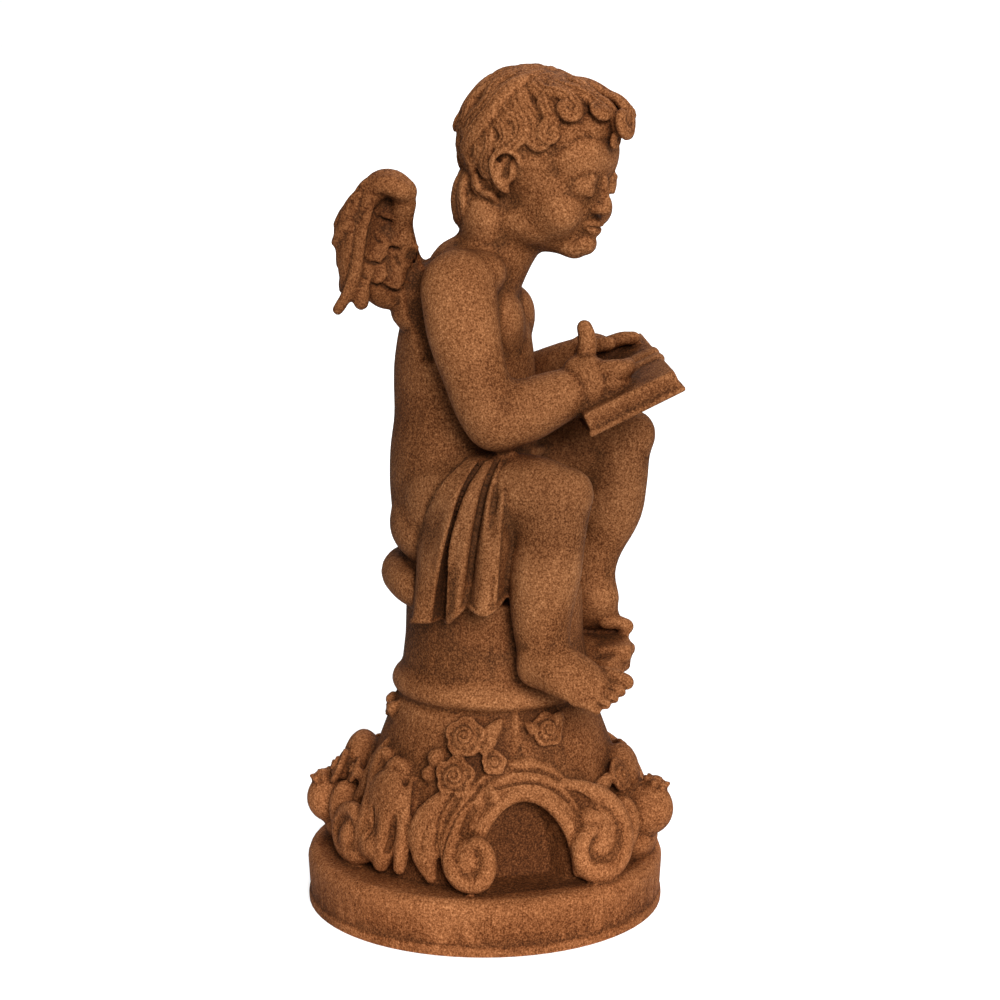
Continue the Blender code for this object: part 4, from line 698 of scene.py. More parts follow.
def ears(bm):
    """A rolled rim round a shell and an inner fold, on each side."""
    for s in (-1, 1):
        head_tube(bm, [(s * 42.5, -7, 5), (s * 46.5, -3, 12), (s * 49.5, 4, 13), (s * 50.5, 10, 7),
                       (s * 49.5, 10.5, -1), (s * 47, 6.5, -8), (s * 44.5, 1.5, -13), (s * 43, -1, -14)],
                  [1.8, 2.4, 2.7, 2.7, 2.6, 2.8, 3.4, 2.6], count=22, sides=8)
        head_ball(bm, (s * 42.5, 3, -2), (3.6, 7, 10), 12)
        head_tube(bm, [(s * 46, 4.5, 7), (s * 47.5, 6.5, 1), (s * 46.5, 4.5, -6)], [1.2, 1.5, 1.2], count=8,
                  sides=7)


SKULL_MID = vec(0, 7, 11)
HAIR = (((0, 11, 16), (46.5, 50, 48)), ((0, -12, 31), (39, 33, 31)), ((2, -32, 38), (27, 17, 17)),
        ((0, 28, -24), (38, 25.5, 34)))


def scalp(theta, phi, lift=0.0):
    """A point over the hair in head space: theta down from the crown, phi around from the face."""
    t, p = math.radians(theta), math.radians(phi)
    ray = vec(math.sin(t) * math.sin(p), -math.sin(t) * math.cos(p), math.cos(t))
    reach = 0.0
    for centre, size in HAIR:
        away, size = SKULL_MID - np.array(centre), np.array(size)
        a, b, c = ((ray / size) ** 2).sum(), (ray * away / size ** 2).sum(), ((away / size) ** 2).sum() - 1
        if b * b > a * c:
            reach = max(reach, (-b + math.sqrt(b * b - a * c)) / a)
    return SKULL_MID + ray * (reach + lift)


def lock_line(path, wave, turns, curl, lift, phase):
    """Stations along a wavy lock in head space: its points, the way across it and the way out of it."""
    stations = smooth_path([(*s, 0)[:3] for s in path], 14)
    spine = np.array([scalp(t, p, lift + more) for t, p, more in stations])
    out = [unit(p - SKULL_MID) for p in spine]
    across = [unit(np.cross(t, n)) for t, n in zip(np.gradient(spine, axis=0), out)]
    spine = [p + a * wave * math.sin(2 * math.pi * turns * i / 13 + phase)
             for i, (p, a) in enumerate(zip(spine, across))]
    if curl:
        ahead, turn = unit(spine[-1] - spine[-2]), math.copysign(1, curl)
        side, n = np.cross(ahead, out[-1]) * turn, out[-1]
        hub = spine[-1] + side * abs(curl)
        for j in range(1, 9):
            a = math.radians(42 * j)
            spoke = -side * math.cos(a) + ahead * math.sin(a)
            spine.append(hub + spoke * abs(curl) * (1 - 0.085 * j) + n * 0.22 * j)
            across.append(-spoke * turn)
            out.append(n)
    return np.array(spine), np.array(across), np.array(out)


BROW_LOCKS = [
    # stations of theta and phi with any extra lift, then size, wave, turns, curl, lift and phase
    ([(14, 24), (34, 14, 1), (50, 6, 5), (62, 2, 7)], 7.0, 1.5, 0.8, 8.0, 0.5, 0),
    ([(30, -8), (46, -8, 2), (58, -8, 3), (68, -2, 3)], 5.4, 1.4, 1.0, 4.6, 0.5, 0)]
SIDE_LOCKS = (
    # the same on both sides; first those over the brow and the temple
    ([(14, 64), (28, 42), (40, 24, 1), (51, 16, 2)], 6.4, 1.2, 0.8, -6.0, 0.5, 0),
    ([(18, 92), (30, 70), (38, 48, 1), (49, 38, 1)], 6.6, 1.0, 0.8, -6.2, 0.5, 0),
    ([(22, 92), (38, 70), (49, 62), (58, 52), (66, 57, 1)], 6.0, 1.6, 1.4, 4.8, 0.8, 0),
    ([(32, 98), (50, 84), (62, 70), (72, 66)], 7.0, 1.4, 1.0, 4.6, 0.5, 0),
    ([(38, 104), (56, 97), (66, 82), (76, 78), (86, 82)], 5.8, 2.6, 1.2, 0, 1.0, 0),
    # a broad combed band from the crown to behind the ear, and the locks below it
    ([(22, 100), (46, 107), (64, 110), (82, 120), (98, 130)], 8.5, 0.6, 0.6, 0, 1.2, 0),
    ([(52, 104), (68, 98), (80, 89), (88, 90, 1)], 5.4, 2.0, 1.2, 0, 0.8, 0),
    ([(66, 104), (80, 104), (94, 106), (104, 104, 1)], 5.6, 2.4, 1.2, 4.8, 0.5, 0),
    ([(84, 116), (98, 118), (110, 108), (118, 98)], 5.8, 2.2, 1.2, -5.0, 0.5, 0),
    ([(96, 128), (110, 126), (124, 118), (132, 108)], 5.8, 2.0, 1.0, 4.6, 0.5, 0))


def all_locks():
    """Every lock of the hair, laid over the scalp."""
    locks = BROW_LOCKS + [([(t, s * p, *more) for t, p, *more in path], size, wave, turns, s * curl, *rest)
                          for s in (-1, 1) for path, size, wave, turns, curl, *rest in SIDE_LOCKS]
    for k, phi in enumerate(range(136, 233, 16)):
        sway, curl = (7, 5.0) if k % 2 else (-6, -5.0)
        locks += [([(18, phi + 12), (40, phi + sway), (60, phi - sway), (78, phi + sway / 2)],
                   7.2, 2.0, 1.0, curl, 0.2, k * 1.3),
                  ([(76, phi + 8), (94, phi + 8 - sway), (110, phi + 4 + sway)],
                   6.6, 2.4, 1.2, -curl, 0.2, k * 2.1)]
    for k, phi in enumerate(range(128, 234, 15)):
        locks.append(([(106, phi, -1), (120, phi + 5 * (-1) ** k, -0.5), (134, phi, 1.5), (146, phi, 2)],
                      6.4, 1.6, 1.1, 0, 0.0, k * 1.9))
    # broad soft waves flow out from the crown
    for k, phi in enumerate(range(-170, 190, 40)):
        locks.append(([(6, phi + 40), (18, phi + 16), (34, phi)], 9.5, 1.6, 0.7, 0, -2.2, k * 1.7))
    return locks


def hair(bm):
    """The cap of hair and the locks laid over it."""
    for centre, size in HAIR:
        head_ball(bm, centre, size, 28)
    ball(bm, (4, 9, 452), (20, 12, 9), (0, 6, 0), 14)
    for path, size, *bend in all_locks():
        spine, _, out = lock_line(path, *bend)
        shape_along = [s * size for s in (0.55, 0.95, 1.0, 1.0, 0.95, 0.9 if not bend[2] else 0.55)]
        head_tube(bm, spine, shape_along, [s * 0.6 for s in shape_along], out, count=34 if bend[2] else 20,
                  sides=9)


def hair_cuts():
    """Fine grooves that part each lock into strands."""
    cuts = []
    for path, size, *bend in all_locks():
        spine, across, out = lock_line(path, *bend)
        marks = (-0.33, 0.33) if size < 8 else (-0.5, 0.0, 0.5)
        for mark in marks:
            rise = 0.6 * size * math.sqrt(1 - mark ** 2) * 0.92
            line = spine[1:] + across[1:] * size * mark + out[1:] * rise
            cuts.append((at_head(line), 1.2, 0.6 if size < 8 else 0.4))
    return cuts


# ---------------------------------------------------------------- wings, book, hands, cloth

def wing_point(side, p):
    """Places a wing point; the left wing is folded closer to the middle of the back."""
    x, y, z = p
    if side < 0:
        return vec(-x, y, z)
    rise = min(max((z - 395) / 45, 0), 1)
    return vec(x * (1 - 0.45 * rise), y + 17 * rise, z - 6 * rise)


WING_ROWS = (
    # height, then outward reach and distance back, from the front edge over the hollow and
    # the ridge to the rear edge
    (474, ((50, 38), (47, 44), (48, 50), (54, 55), (60, 58), (60, 63), (55, 68))),
    (455, ((43, 42), (43, 48), (46, 54), (54, 60), (61, 65), (60.5, 75), (54, 84))),
    (436, ((38, 38), (41, 46), (45, 54), (53, 61), (62, 67), (60.5, 76.5), (54, 84.5))),
    (418, ((33, 37), (39, 45), (45, 54), (53, 62), (61, 70), (60, 77), (55, 82))),
    (405, ((30, 42), (37, 48), (43, 56), (51, 63), (58, 72), (58, 77), (57, 80))))


def wing_depth(y, z):
    """How far out the hollow inner face lies at a height and a distance back."""
    at = sorted(WING_ROWS)
    cols = [np.interp(y, [p[1] for p in row[1]], [p[0] for p in row[1]]) for row in at]
    return float(np.interp(z, [row[0] for row in at], cols))


def sheet(bm, rows, behind):
    """A closed sheet: a grid of points and the same grid set back by a vector."""
    front = [[bm.verts.new(p) for p in row] for row in rows]
    rear = [[bm.verts.new(np.asarray(p) + behind) for p in row] for row in rows]
    m, n = len(rows), len(rows[0])
    for i in range(m - 1):
        for j in range(n - 1):
            bm.faces.new((front[i][j], front[i][j + 1], front[i + 1][j + 1], front[i + 1][j]))
            bm.faces.new((rear[i + 1][j], rear[i + 1][j + 1], rear[i][j + 1], rear[i][j]))
    rim = [(0, j) for j in range(n)] + [(i, n - 1) for i in range(1, m)] \
        + [(m - 1, j) for j in range(n - 2, -1, -1)] + [(i, 0) for i in range(m - 2, 0, -1)]
    for a, b in zip(rim, rim[1:] + rim[:1]):
        bm.faces.new((front[b[0]][b[1]], front[a[0]][a[1]], rear[a[0]][a[1]], rear[b[0]][b[1]]))


def wing(bm, side):
    """A small raised wing: a scooped sheet under a thick hood that rolls over its top."""
    def at(*p):
        return wing_point(side, p)
    grid = [smooth_path([(x, y, z) for x, y in row], 15) for z, row in WING_ROWS]
    cols = [smooth_path([row[j] for row in grid], 12) for j in range(15)]
    sheet(bm, [[at(*cols[j][i]) for j in range(15)] for i in range(12)], vec(-side * 9, 1.5, 0))
    tube(bm, [at(20, 42, 394), at(27, 43, 412), at(33, 44.5, 432), at(38, 46, 450), at(46, 42, 464)],
         [15, 12, 9, 8, 8], count=20, sides=12)
    tube(bm, [at(24, 52, 404), at(34, 58, 404), at(44, 64, 408)], [10, 8, 6], count=10, sides=12)
    tube(bm, [at(50, 41, 471), at(53, 47, 476), at(55, 55, 476), at(56, 62, 468), at(56, 70, 456)],
         [8.5, 9, 8.5, 7, 5], count=20, sides=12)
    tube(bm, [at(56, 41, 472), at(60, 48, 476), at(60, 55, 476)], [6.5, 7, 6], count=12, sides=12)


def feathers(bm, side):
    """The two long feather tips and the short feathers that end on the rear edge."""
    for pts, wide, thick in (
            ([(59, 58, 470), (61, 65, 448), (61, 69, 426), (60, 75, 409), (58.5, 82, 398)], 4.0, 3.4),
            ([(53, 63, 424), (55, 67, 414), (55, 68, 402)], 5.6, 4.2)):
        tube(bm, [wing_point(side, p) for p in pts], [wide * 0.7, wide, wide, wide * 1.05, wide * 0.95],
             [thick * 0.4, thick * 0.6, thick * 0.8, thick * 1.2, thick * 1.1], face=(side, 0.35, 0.1),
             count=18, sides=10)
    for y0, z0, y1, z1 in ((56, 481, 71, 468), (59, 476, 79, 459), (64, 468, 84, 450),
                           (68, 460, 85.5, 439)):
        pts = ((56, y0, z0), (60.5, (y0 + y1) / 2, (z0 + z1) / 2 + 1), (54, y1, z1))
        tube(bm, [wing_point(side, p) for p in pts], [2.8, 3.8, 3.8, 2.4], [2.2, 2.8, 2.4, 1.8],
             face=(side, 0.5, 0.2), count=9, sides=8)


SCALES = ((52, 461, 8), (49, 447, 11.5), (58, 436, 9.5), (40, 431, 9.5), (48, 419, 11.0), (58, 421, 8.5))


def coverts(bm, side):
    """Broad rounded feathers that overlap down the hollow face, and plainer ones on the back."""
    for y, z, size in SCALES:
        centre = wing_point(side, (wing_depth(y, z) + 0.4, y, z))
        ball(bm, centre, (1.4, size * 0.82, size), (side * 10, -side * 12, -side * 10), 16)
    for k in range(5):
        for z in (464, 448, 432, 416):
            y = 50 + k * 7 + (z % 32) / 8 - max(z - 448, 0) * 0.6
            x = wing_depth(min(y, 82), z) - 9.6
            tube(bm, [wing_point(side, (x + 0.8, y, z + 6)), wing_point(side, (x - 0.4, y + 2, z)),
                      wing_point(side, (x - 0.6, y + 4, z - 8))],
                 [3.2, 4.0, 3.8, 2.4], [1.4, 1.8, 1.8, 1.2], face=(-side, 0, 0), count=8, sides=8)


def wing_cuts():
    """Undercut slits below the rounded feathers and grooves between the long ones."""
    cuts = []
    for side in (-1, 1):
        for y, z, size in SCALES:
            arc = [(y + size * 0.86 * math.cos(a), z + size * 1.02 * math.sin(a))
                   for a in np.radians(np.linspace(-10, -105, 12))]
            arc = [p for p in arc if p[0] > 46]
            cuts.append(([wing_point(side, (wing_depth(b, c) + 1.0, b, c)) for b, c in arc], 1.6, 2.6))
        for pts in ([(62, 64, 472), (63, 69.5, 450), (62.5, 73, 430), (61, 78, 412)],
                    [(61, 67, 474), (61.5, 75, 456), (61, 77.5, 438)],
                    [(61, 70, 475), (60, 79, 462), (59, 82, 452)]):
            cuts.append(([wing_point(side, p) for p in smooth_path(pts, 12)], 1.5, 0.9))
    return cuts


def book_frame():
    """Book axes: along the spine away from the reader, across toward the right hand, page normal."""
    along = unit(BOOK_ALONG)
    across = unit(BOOK_ACROSS - along * np.dot(BOOK_ACROSS, along))
    up = np.cross(across, along)
    return along, across, up if up[2] > 0 else -up


def book(bm):
    """An open book: two covers, two blocks of leaves, and the swell of the leaves at the spine."""
    along, across, up = book_frame()
    for side, roll in ((1, 0.06), (-1, 0.02)):
        out = unit(across * side + up * (-roll if side > 0 else 0.10))
        top = unit(np.cross(out, along) * side)
        top = top if top.dot(up) > 0 else -top
        mid = BOOK_MID + out * (BOOK_HALF / 2)
        block(bm, mid - top * 6.8, (out, along, top), (BOOK_HALF - 3, BOOK_TALL - 3.5, 11.5), 1.2)
        block(bm, mid - top * 14.3, (out, along, top), (BOOK_HALF, BOOK_TALL, 3.6), 1.2)
        # the leaves swell beside the spine
        tube(bm, [BOOK_MID + out * 8 - top * 3.2 - along * (BOOK_TALL / 2 - 4),
                  BOOK_MID + out * 8 - top * 3.2 + along * (BOOK_TALL / 2 - 4)], [8.0] * 2, [4.2] * 2,
             face=top, count=6, sides=12)


def hands(bm):
    """The right hand on edge with its thumb raised, the left laid along the far page."""
    # right hand stands on its edge on the page, thumb raised
    ball(bm, (-38.5, -73, 350), (13.5, 18.5, 20), (14, 0, 6), 16)
    ball(bm, (-36, -66, 360), (11, 10, 10), parts=12)
    for z, reach in ((361, 5.5), (352.5, 2.5), (344, 0.5), (337, -2.5)):
        tube(bm, [(-40, -80, z), (-42, -87 - reach * 0.6, z + 1.5), (-37, -91 - reach, z + 2),
                  (-28, -91 - reach, z + 2)], [6.8, 6.6, 6.0, 5.4], count=12, sides=10)
    tube(bm, [(-33, -68, 360), (-33, -71, 372), (-33, -71, 382), (-33, -69.5, 387)], [7.2, 6.4, 6.2, 5.2],
         count=10, sides=12)
    # left hand flat along the far page
    ball(bm, (36, -66, 364), (14, 16, 10), (10, -20, 0), 14)
    for k, dx in enumerate((0, 8.2, 16, 23)):
        tube(bm, [(28 + dx, -72, 367 - 1.6 * k), (29 + dx, -84 + k, 372 - 1.6 * k),
                  (30 + dx * 0.95, -93 + 1.5 * k, 373 - 2 * k)], [5.4, 5.0, 4.6], count=9, sides=10)
    tube(bm, [(25, -62, 364), (17, -70, 369), (14, -79, 371)], [6.2, 5.6, 5.0], count=8, sides=10)


FOLDS = (
    # y at the top and half way down, the hem's y and z, crest 1 or valley 0 on the thigh, then
    # the outward reach half way down and at the hem
    (1, 32, 37, 199, 0.0, 54, 52),
    (-2, 27, 36, 200, 0.3, 63, 61),
    (-5, 20, 33, 202, 0.7, 71, 67),
    (-8, 12, 23, 203, 1.0, 78, 69),
    (-10, 8.5, 16.5, 204, 0.0, 67, 58),
    (-12, 6.5, 10.5, 204, 0.9, 79, 73),
    (-15, 2, 8, 207, 1.0, 81, 76),
    (-17, -4, 3, 212, 0.9, 83, 81),
    (-19, -8, -2, 217, 0.0, 77, 75),
    (-22, -13, -8, 216, 1.0, 85, 84),
    (-24, -18, -15, 214, 0.2, 87, 88),
    (-27, -24, -21, 217, 1.0, 86, 83),
    (-31, -30, -25, 222, 0.0, 74, 71))


def fold_line(fold, count=14):
    """One fold from the lap to the hem, bowed out over the thigh."""
    top, middle, hem, low, crest, reach, end = fold
    return smooth_path([(-60.5 - 5 * crest, top, 306), (-72 - 6.5 * crest, (top + middle) / 2, 289),
                        (-reach, middle, 256), (-(reach + end) / 2, (middle + hem) / 2, 233),
                        (-end, hem, low)], count)


def cloth_grid():
    """The fold lines of the hanging cloth and the rows that cross them."""
    lines = [fold_line(fold) for fold in FOLDS]
    return lines, [smooth_path([line[i] for line in lines], 40) for i in range(14)]


def drapery(bm):
    """Cloth over the right thigh: one sheet fanned into folds."""
    sheet(bm, cloth_grid()[1], vec(16, -2, 2))


def drapery_lips(bm):
    """Rolled lips on the free edges of the hanging cloth."""
    lines, rows = cloth_grid()
    for fold, size in ((3, 1.8), (5, 1.4), (11, 1.8)):
        line = lines[fold] + vec(0.6, 0, 0)
        tube(bm, line[2:], [size * 0.3, size * 0.8, size, size, size], count=18, sides=8)
    hem = [p + vec(2.5, 0, 0) for p in rows[-1]]
    tube(bm, hem[1:], [1.8, 2.2, 2.2, 2.4, 2.6, 2.2], count=40, sides=8)


def lap_cloth(bm):
    """Cloth gathered over the lap, with a few soft ridges."""
    tube(bm, [(-44, -14, 303), (-28, -20, 302), (-8, -24, 299), (12, -24, 298), (30, -20, 300)],
         [9, 12, 13, 12, 8], [6] * 2, face=(0, -0.35, 1), count=14, sides=10)
    for pts in ([(-48, -22, 304), (-42, -34, 303), (-36, -44, 299)],
                [(-50, -14, 307), (-34, -20, 308), (-16, -24, 306)],
                [(-44, -4, 308), (-26, -10, 308), (-8, -12, 306)],
                [(-10, -34, 303), (8, -36, 301), (24, -34, 301)]):
        tube(bm, pts, [2.0, 3.2, 2.0], count=9, sides=8)


def seat_cloth(bm):
    """Cloth bunched into a soft roll on top of the column, under and behind the figure."""
    ball(bm, (0, 8, 222), (54, 48, 25), parts=20)
    tube(bm, [(-50, 28, 214), (-40, 41, 218), (-20, 51, 221), (0, 54, 222), (22, 51, 221), (42, 40, 221),
              (55, 22, 223), (59, -2, 225), (53, -24, 225), (36, -38, 221)],
         [10, 12, 13.5, 14, 13.5, 13, 12, 11, 10, 8], [11, 12, 13, 13, 13, 13, 12, 12, 11, 8],
         face=(0, 0, 1), count=44, sides=14)
    # a few slack folds run down over the roll on the hidden side and the back
    for a, lean, size in ((118, 10, 4.0), (96, -8, 4.6), (72, 12, 4.2), (150, -9, 3.4)):
        pts = [outward(a + lean * q) * (53 + 15 * math.sin(math.pi * q) ** 0.7) + vec(0, 3, 243 - 42 * q)
               for q in np.linspace(0, 1, 6)]
        tube(bm, pts, [size * 0.5, size, size * 1.2, size, size * 0.5], count=14, sides=8)


def both_sides(build):
    def run(bm):
        build(bm, -1)
        build(bm, 1)
    return run


def body_cuts():
    """Creases: the mouth, the fold of the arm, the line of the back, and gaps between toes."""
    cuts = []
    mouth = [(-9, -48.3, -28.2), (-5, -52.4, -28.2), (0, -53.6, -28.7), (5, -52.4, -28.2),
             (9, -48.3, -28.2)]
    cuts.append((at_head(smooth_path(mouth, 12)), 1.3, 1.6))
    for s in (-1, 1):
        for shell, wide, deep in (([(46, 0, 9), (46.5, 1.5, 3), (46, 1, -4)], 2.6, 3.4),
                                  ([(48, 3, 10.5), (49.5, 8.5, 5), (48.5, 8, -3)], 1.3, 1.4)):
            cuts.append((at_head([(s * x, y, z) for x, y, z in smooth_path(shell, 8)]), wide, deep))
    # the valleys of the cloth are cut deeper
    lines = [fold_line(fold, 24) for fold in FOLDS]
    for fold, last, wide, deep in ((4, 14, 3.2, 2.4), (8, 20, 3.0, 1.8), (10, 9, 2.6, 1.2)):
        cuts.append((lines[fold][:last] - vec(1.2, 0, 0), wide, deep))
    for _, big, little, ahead, _, rise in (foot_frame(*place[:3]) for place in FEET):
        for share in (0.17, 0.415, 0.645, 0.87):
            gap = big * (1 - share) + little * share + rise * 2.4
            cuts.append(([gap - ahead * (11 - 5 * share), gap - ahead * 2, gap + ahead * 5 - rise * 2.4],
                         1.5, 2.6))
    for s in (-1, 1):
        blade = [(s * 40, 36, 428), (s * 39, 38, 414), (s * 38, 37.5, 402), (s * 38, 35, 388),
                 (s * 42, 29, 370)]
        cuts.append((smooth_path(blade, 14), 9.0, 5.5))
    spine = [(0, 60, 270), (0, 60, 300), (0, 58, 330), (0, 59, 360), (0, 58, 390), (0, 50, 412)]
    cuts += [(smooth_path(spine, 16), 9.0, 2.6),
             (smooth_path([(0, 62, 262), (0, 60, 248), (0, 55, 236)], 8), 5.0, 4.0),
             ([(0, -35, 318), (0, -36.5, 316)], 3.2, 2.2)]
    for y, z in ((-40, 337), (-43, 336)):
        crease = smooth_path([(-70, y, z + 2), (-66, y - 9, z - 10), (-56, y - 14, z - 16)], 8)
        cuts.append((crease, 1.6, 0.5))
    return cuts


SOFT = (torso, arms, legs, leg_fat, feet, head_mass)
MILD = (column, flared_foot, arches, scrolls, acanthus, flowers, all_toes, step, face, ears, hands,
        seat_cloth, lap_cloth, both_sides(wing), both_sides(feathers), both_sides(coverts))
FIRM = (disk, hair, book, drapery, drapery_lips, roses)


def statue_mesh(cells, rounds, triangles):
    """The whole statue in three melts: flesh and column, then modelled forms, then crisp carving."""
    mesh = fused(shape(SOFT), cells[0], rounds[0])
    mesh = fused(shape(MILD, mesh), cells[1], rounds[1])
    mesh = one_body(fused(shape(FIRM, mesh), cells[2], rounds[2]))
    carved(mesh, hair_cuts() + wing_cuts() + body_cuts() + base_cuts(), cells[2])
    ratio = triangles / sum(len(p.vertices) - 2 for p in mesh.polygons)
    mesh = worked(mesh, ("DECIMATE", dict(decimate_type="COLLAPSE", ratio=ratio,
                                          use_collapse_triangulate=True)))
    return level_foot(mesh)


def level_foot(mesh):
    """Cuts the underside off flat, closes it and brings it to height zero."""
    bm = bmesh.new()
    bm.from_mesh(mesh)
    bmesh.ops.bisect_plane(bm, geom=bm.verts[:] + bm.edges[:] + bm.faces[:], dist=0.01,
                           plane_co=(0, 0, 1.5), plane_no=(0, 0, 1), clear_inner=True)
    rim = [e for e in bm.edges if e.is_boundary]
    for corner in {v for e in rim for v in e.verts}:
        corner.co.z = 0.0
    cap = bmesh.ops.contextual_create(bm, geom=rim)["faces"]
    bmesh.ops.triangulate(bm, faces=cap)
    bmesh.ops.recalc_face_normals(bm, faces=bm.faces[:])
    for edge in rim:
        edge.smooth = False
    bm.to_mesh(mesh)
    bm.free()
    return mesh


# ---------------------------------------------------------------- the cast piece

def coords(mesh):
    """Corner places as rows of three."""
    flat = np.empty(len(mesh.vertices) * 3)
    mesh.vertices.foreach_get("co", flat)
    return flat.reshape(-1, 3)


def eased(values, ends, rounds):
    """Values averaged over neighbouring corners again and again."""
    counts = np.bincount(ends.ravel(), minlength=len(values))[:, None]
    for _ in range(rounds):
        total = np.stack([np.bincount(ends[:, 0], values[ends[:, 1], k], len(values))
                          + np.bincount(ends[:, 1], values[ends[:, 0], k], len(values))
                          for k in range(values.shape[1])], 1)
        values = total / counts
    return values


def edge_ends(mesh):
    """The two corners of every edge."""
    ends = np.empty(len(mesh.edges) * 2, np.int64)
    mesh.edges.foreach_get("vertices", ends)
    return ends.reshape(-1, 2)


def store(mesh, name, values):
    mesh.attributes.new(name, "FLOAT", "POINT").data.foreach_set("value", values.ravel())


def mark_relief(mesh):
    """Stores how far each corner stands out of, or sinks below, the skin around it."""
    points, ends = coords(mesh), edge_ends(mesh)
    normals = np.array([n.vector for n in mesh.vertex_normals])
    for name, rounds, reach in (("edge", 4, 0.22), ("hollow", 60, 2.2)):
        height = ((points - eased(points, ends, rounds)) * normals).sum(1)
        store(mesh, name, np.clip(0.5 + 0.5 * height / reach, 0, 1))


# for the painted shade: how many ways are tried, how far off the skin they start and reach, and how near
# forms weigh more
SHELTER_WAYS, OFF_SKIN, SHELTER_REACH = 22, 0.8, 70.0
CLOSE_BY, NEAR_WEIGHT, FAR_WEIGHT = 14.0, 1.3, 0.8


def mark_painted_shade(mesh):
    """Stores how much of the open air around each corner is closed off by the forms near it; the material
    paints this in as shade.
    """
    points = [v.co.copy() for v in mesh.vertices]
    tree = BVHTree.FromPolygons(points, [tuple(p.vertices) for p in mesh.polygons])
    turn = math.pi * (3 - math.sqrt(5))
    ways = []
    for k in range(SHELTER_WAYS):
        z = 1 - (2 * k + 1) / SHELTER_WAYS
        flat = math.sqrt(1 - z * z)
        ways.append(Vector((flat * math.cos(turn * k), flat * math.sin(turn * k), z)))
    occluded_shade = np.zeros((len(points), 1))
    for k, (point, normal) in enumerate(zip(points, mesh.vertex_normals)):
        start, closed, total = point + normal.vector * OFF_SKIN, 0.0, 0.0
        for way in ways:
            facing = way.dot(normal.vector)
            if facing > 0.12:
                total += facing
                far = tree.ray_cast(start, way, SHELTER_REACH)[3]
                if far is not None:
                    closed += facing * (NEAR_WEIGHT if far < CLOSE_BY else FAR_WEIGHT)
        occluded_shade[k] = closed / total
    store(mesh, "occluded_shade", eased(occluded_shade, edge_ends(mesh), 3))


# ---------------------------------------------------------------- material

def node(tree, kind, **settings):
    """A new node; a setting fills the socket of that name, or else the property."""
    made = tree.nodes.new(kind)
    for key, value in settings.items():
        if key in made.inputs:
            made.inputs[key].default_value = value
        else:
            setattr(made, key, value)
    return made


def new_group(name, inputs, outputs):
    tree = bpy.data.node_groups.new(name, "ShaderNodeTree")
    for label, kind, value in inputs:
        socket = tree.interface.new_socket(name=label, in_out="INPUT", socket_type=kind)
        if value is not None:
            socket.default_value = value
    for label, kind in outputs:
        tree.interface.new_socket(name=label, in_out="OUTPUT", socket_type=kind)
    return tree, tree.nodes.new("NodeGroupInput").outputs, tree.nodes.new("NodeGroupOutput").inputs


def maths(tree, how, a, b, clamp=False):
    """One step of arithmetic on two numbers or sockets."""
    made = node(tree, "ShaderNodeMath", operation=how, use_clamp=clamp)
    for socket, value in zip(made.inputs, (a, b)):
        if isinstance(value, (int, float)):
            socket.default_value = value
        else:
            tree.links.new(value, socket)
    return made.outputs[0]


def past(tree, value, start, gain, clamp=False):
    """How far a value has come past a start, times a gain."""
    return maths(tree, "MULTIPLY", maths(tree, "SUBTRACT", value, start), gain, clamp)


def blend(tree, amount, a, b, how="MIX"):
    """Mixes two colours by an amount."""
    made = node(tree, "ShaderNodeMix", data_type="RGBA", blend_type=how)
    for socket, value in ((made.inputs[0], amount), (made.inputs[6], a), (made.inputs[7], b)):
        if isinstance(value, (int, float, tuple)):
            socket.default_value = value
        else:
            tree.links.new(value, socket)
    return made.outputs[2]


def noise(tree, place, scale, detail=2.0, rough=0.5):
    made = node(tree, "ShaderNodeTexNoise", Scale=scale, Detail=detail, Roughness=rough)
    tree.links.new(place, made.inputs["Vector"])
    return made.outputs["Fac"]


def ramp(tree, value, stops):
    """A colour for each value, from a few stops."""
    made = node(tree, "ShaderNodeValToRGB")
    marks = made.color_ramp.elements
    while len(marks) < len(stops):
        marks.new(0.5)
    for mark, (at, colour) in zip(marks, stops):
        mark.position, mark.color = at, (*colour, 1.0)
    tree.links.new(value, made.inputs[0])
    return made.outputs[0]


def cast_grain():
    """Sand-cast grain: a tone for the colour and a height for the bump."""
    tree, given, out = new_group("cast_grain", [("Vector", "NodeSocketVector", None)],
                                 [("Tone", "NodeSocketFloat"), ("Height", "NodeSocketFloat")])
    fine = noise(tree, given["Vector"], 900.0, 2.0, 0.6)
    coarse = noise(tree, given["Vector"], 420.0, 2.0, 0.5)
    pits = node(tree, "ShaderNodeTexVoronoi", Scale=560.0, Randomness=1.0)
    tree.links.new(given["Vector"], pits.inputs["Vector"])
    tone = maths(tree, "ADD", maths(tree, "MULTIPLY", fine, 0.74), maths(tree, "MULTIPLY", coarse, 0.26))
    height = maths(tree, "ADD", tone, maths(tree, "MULTIPLY", pits.outputs["Distance"], 0.30))
    tree.links.new(tone, out["Tone"])
    tree.links.new(height, out["Height"])
    return tree


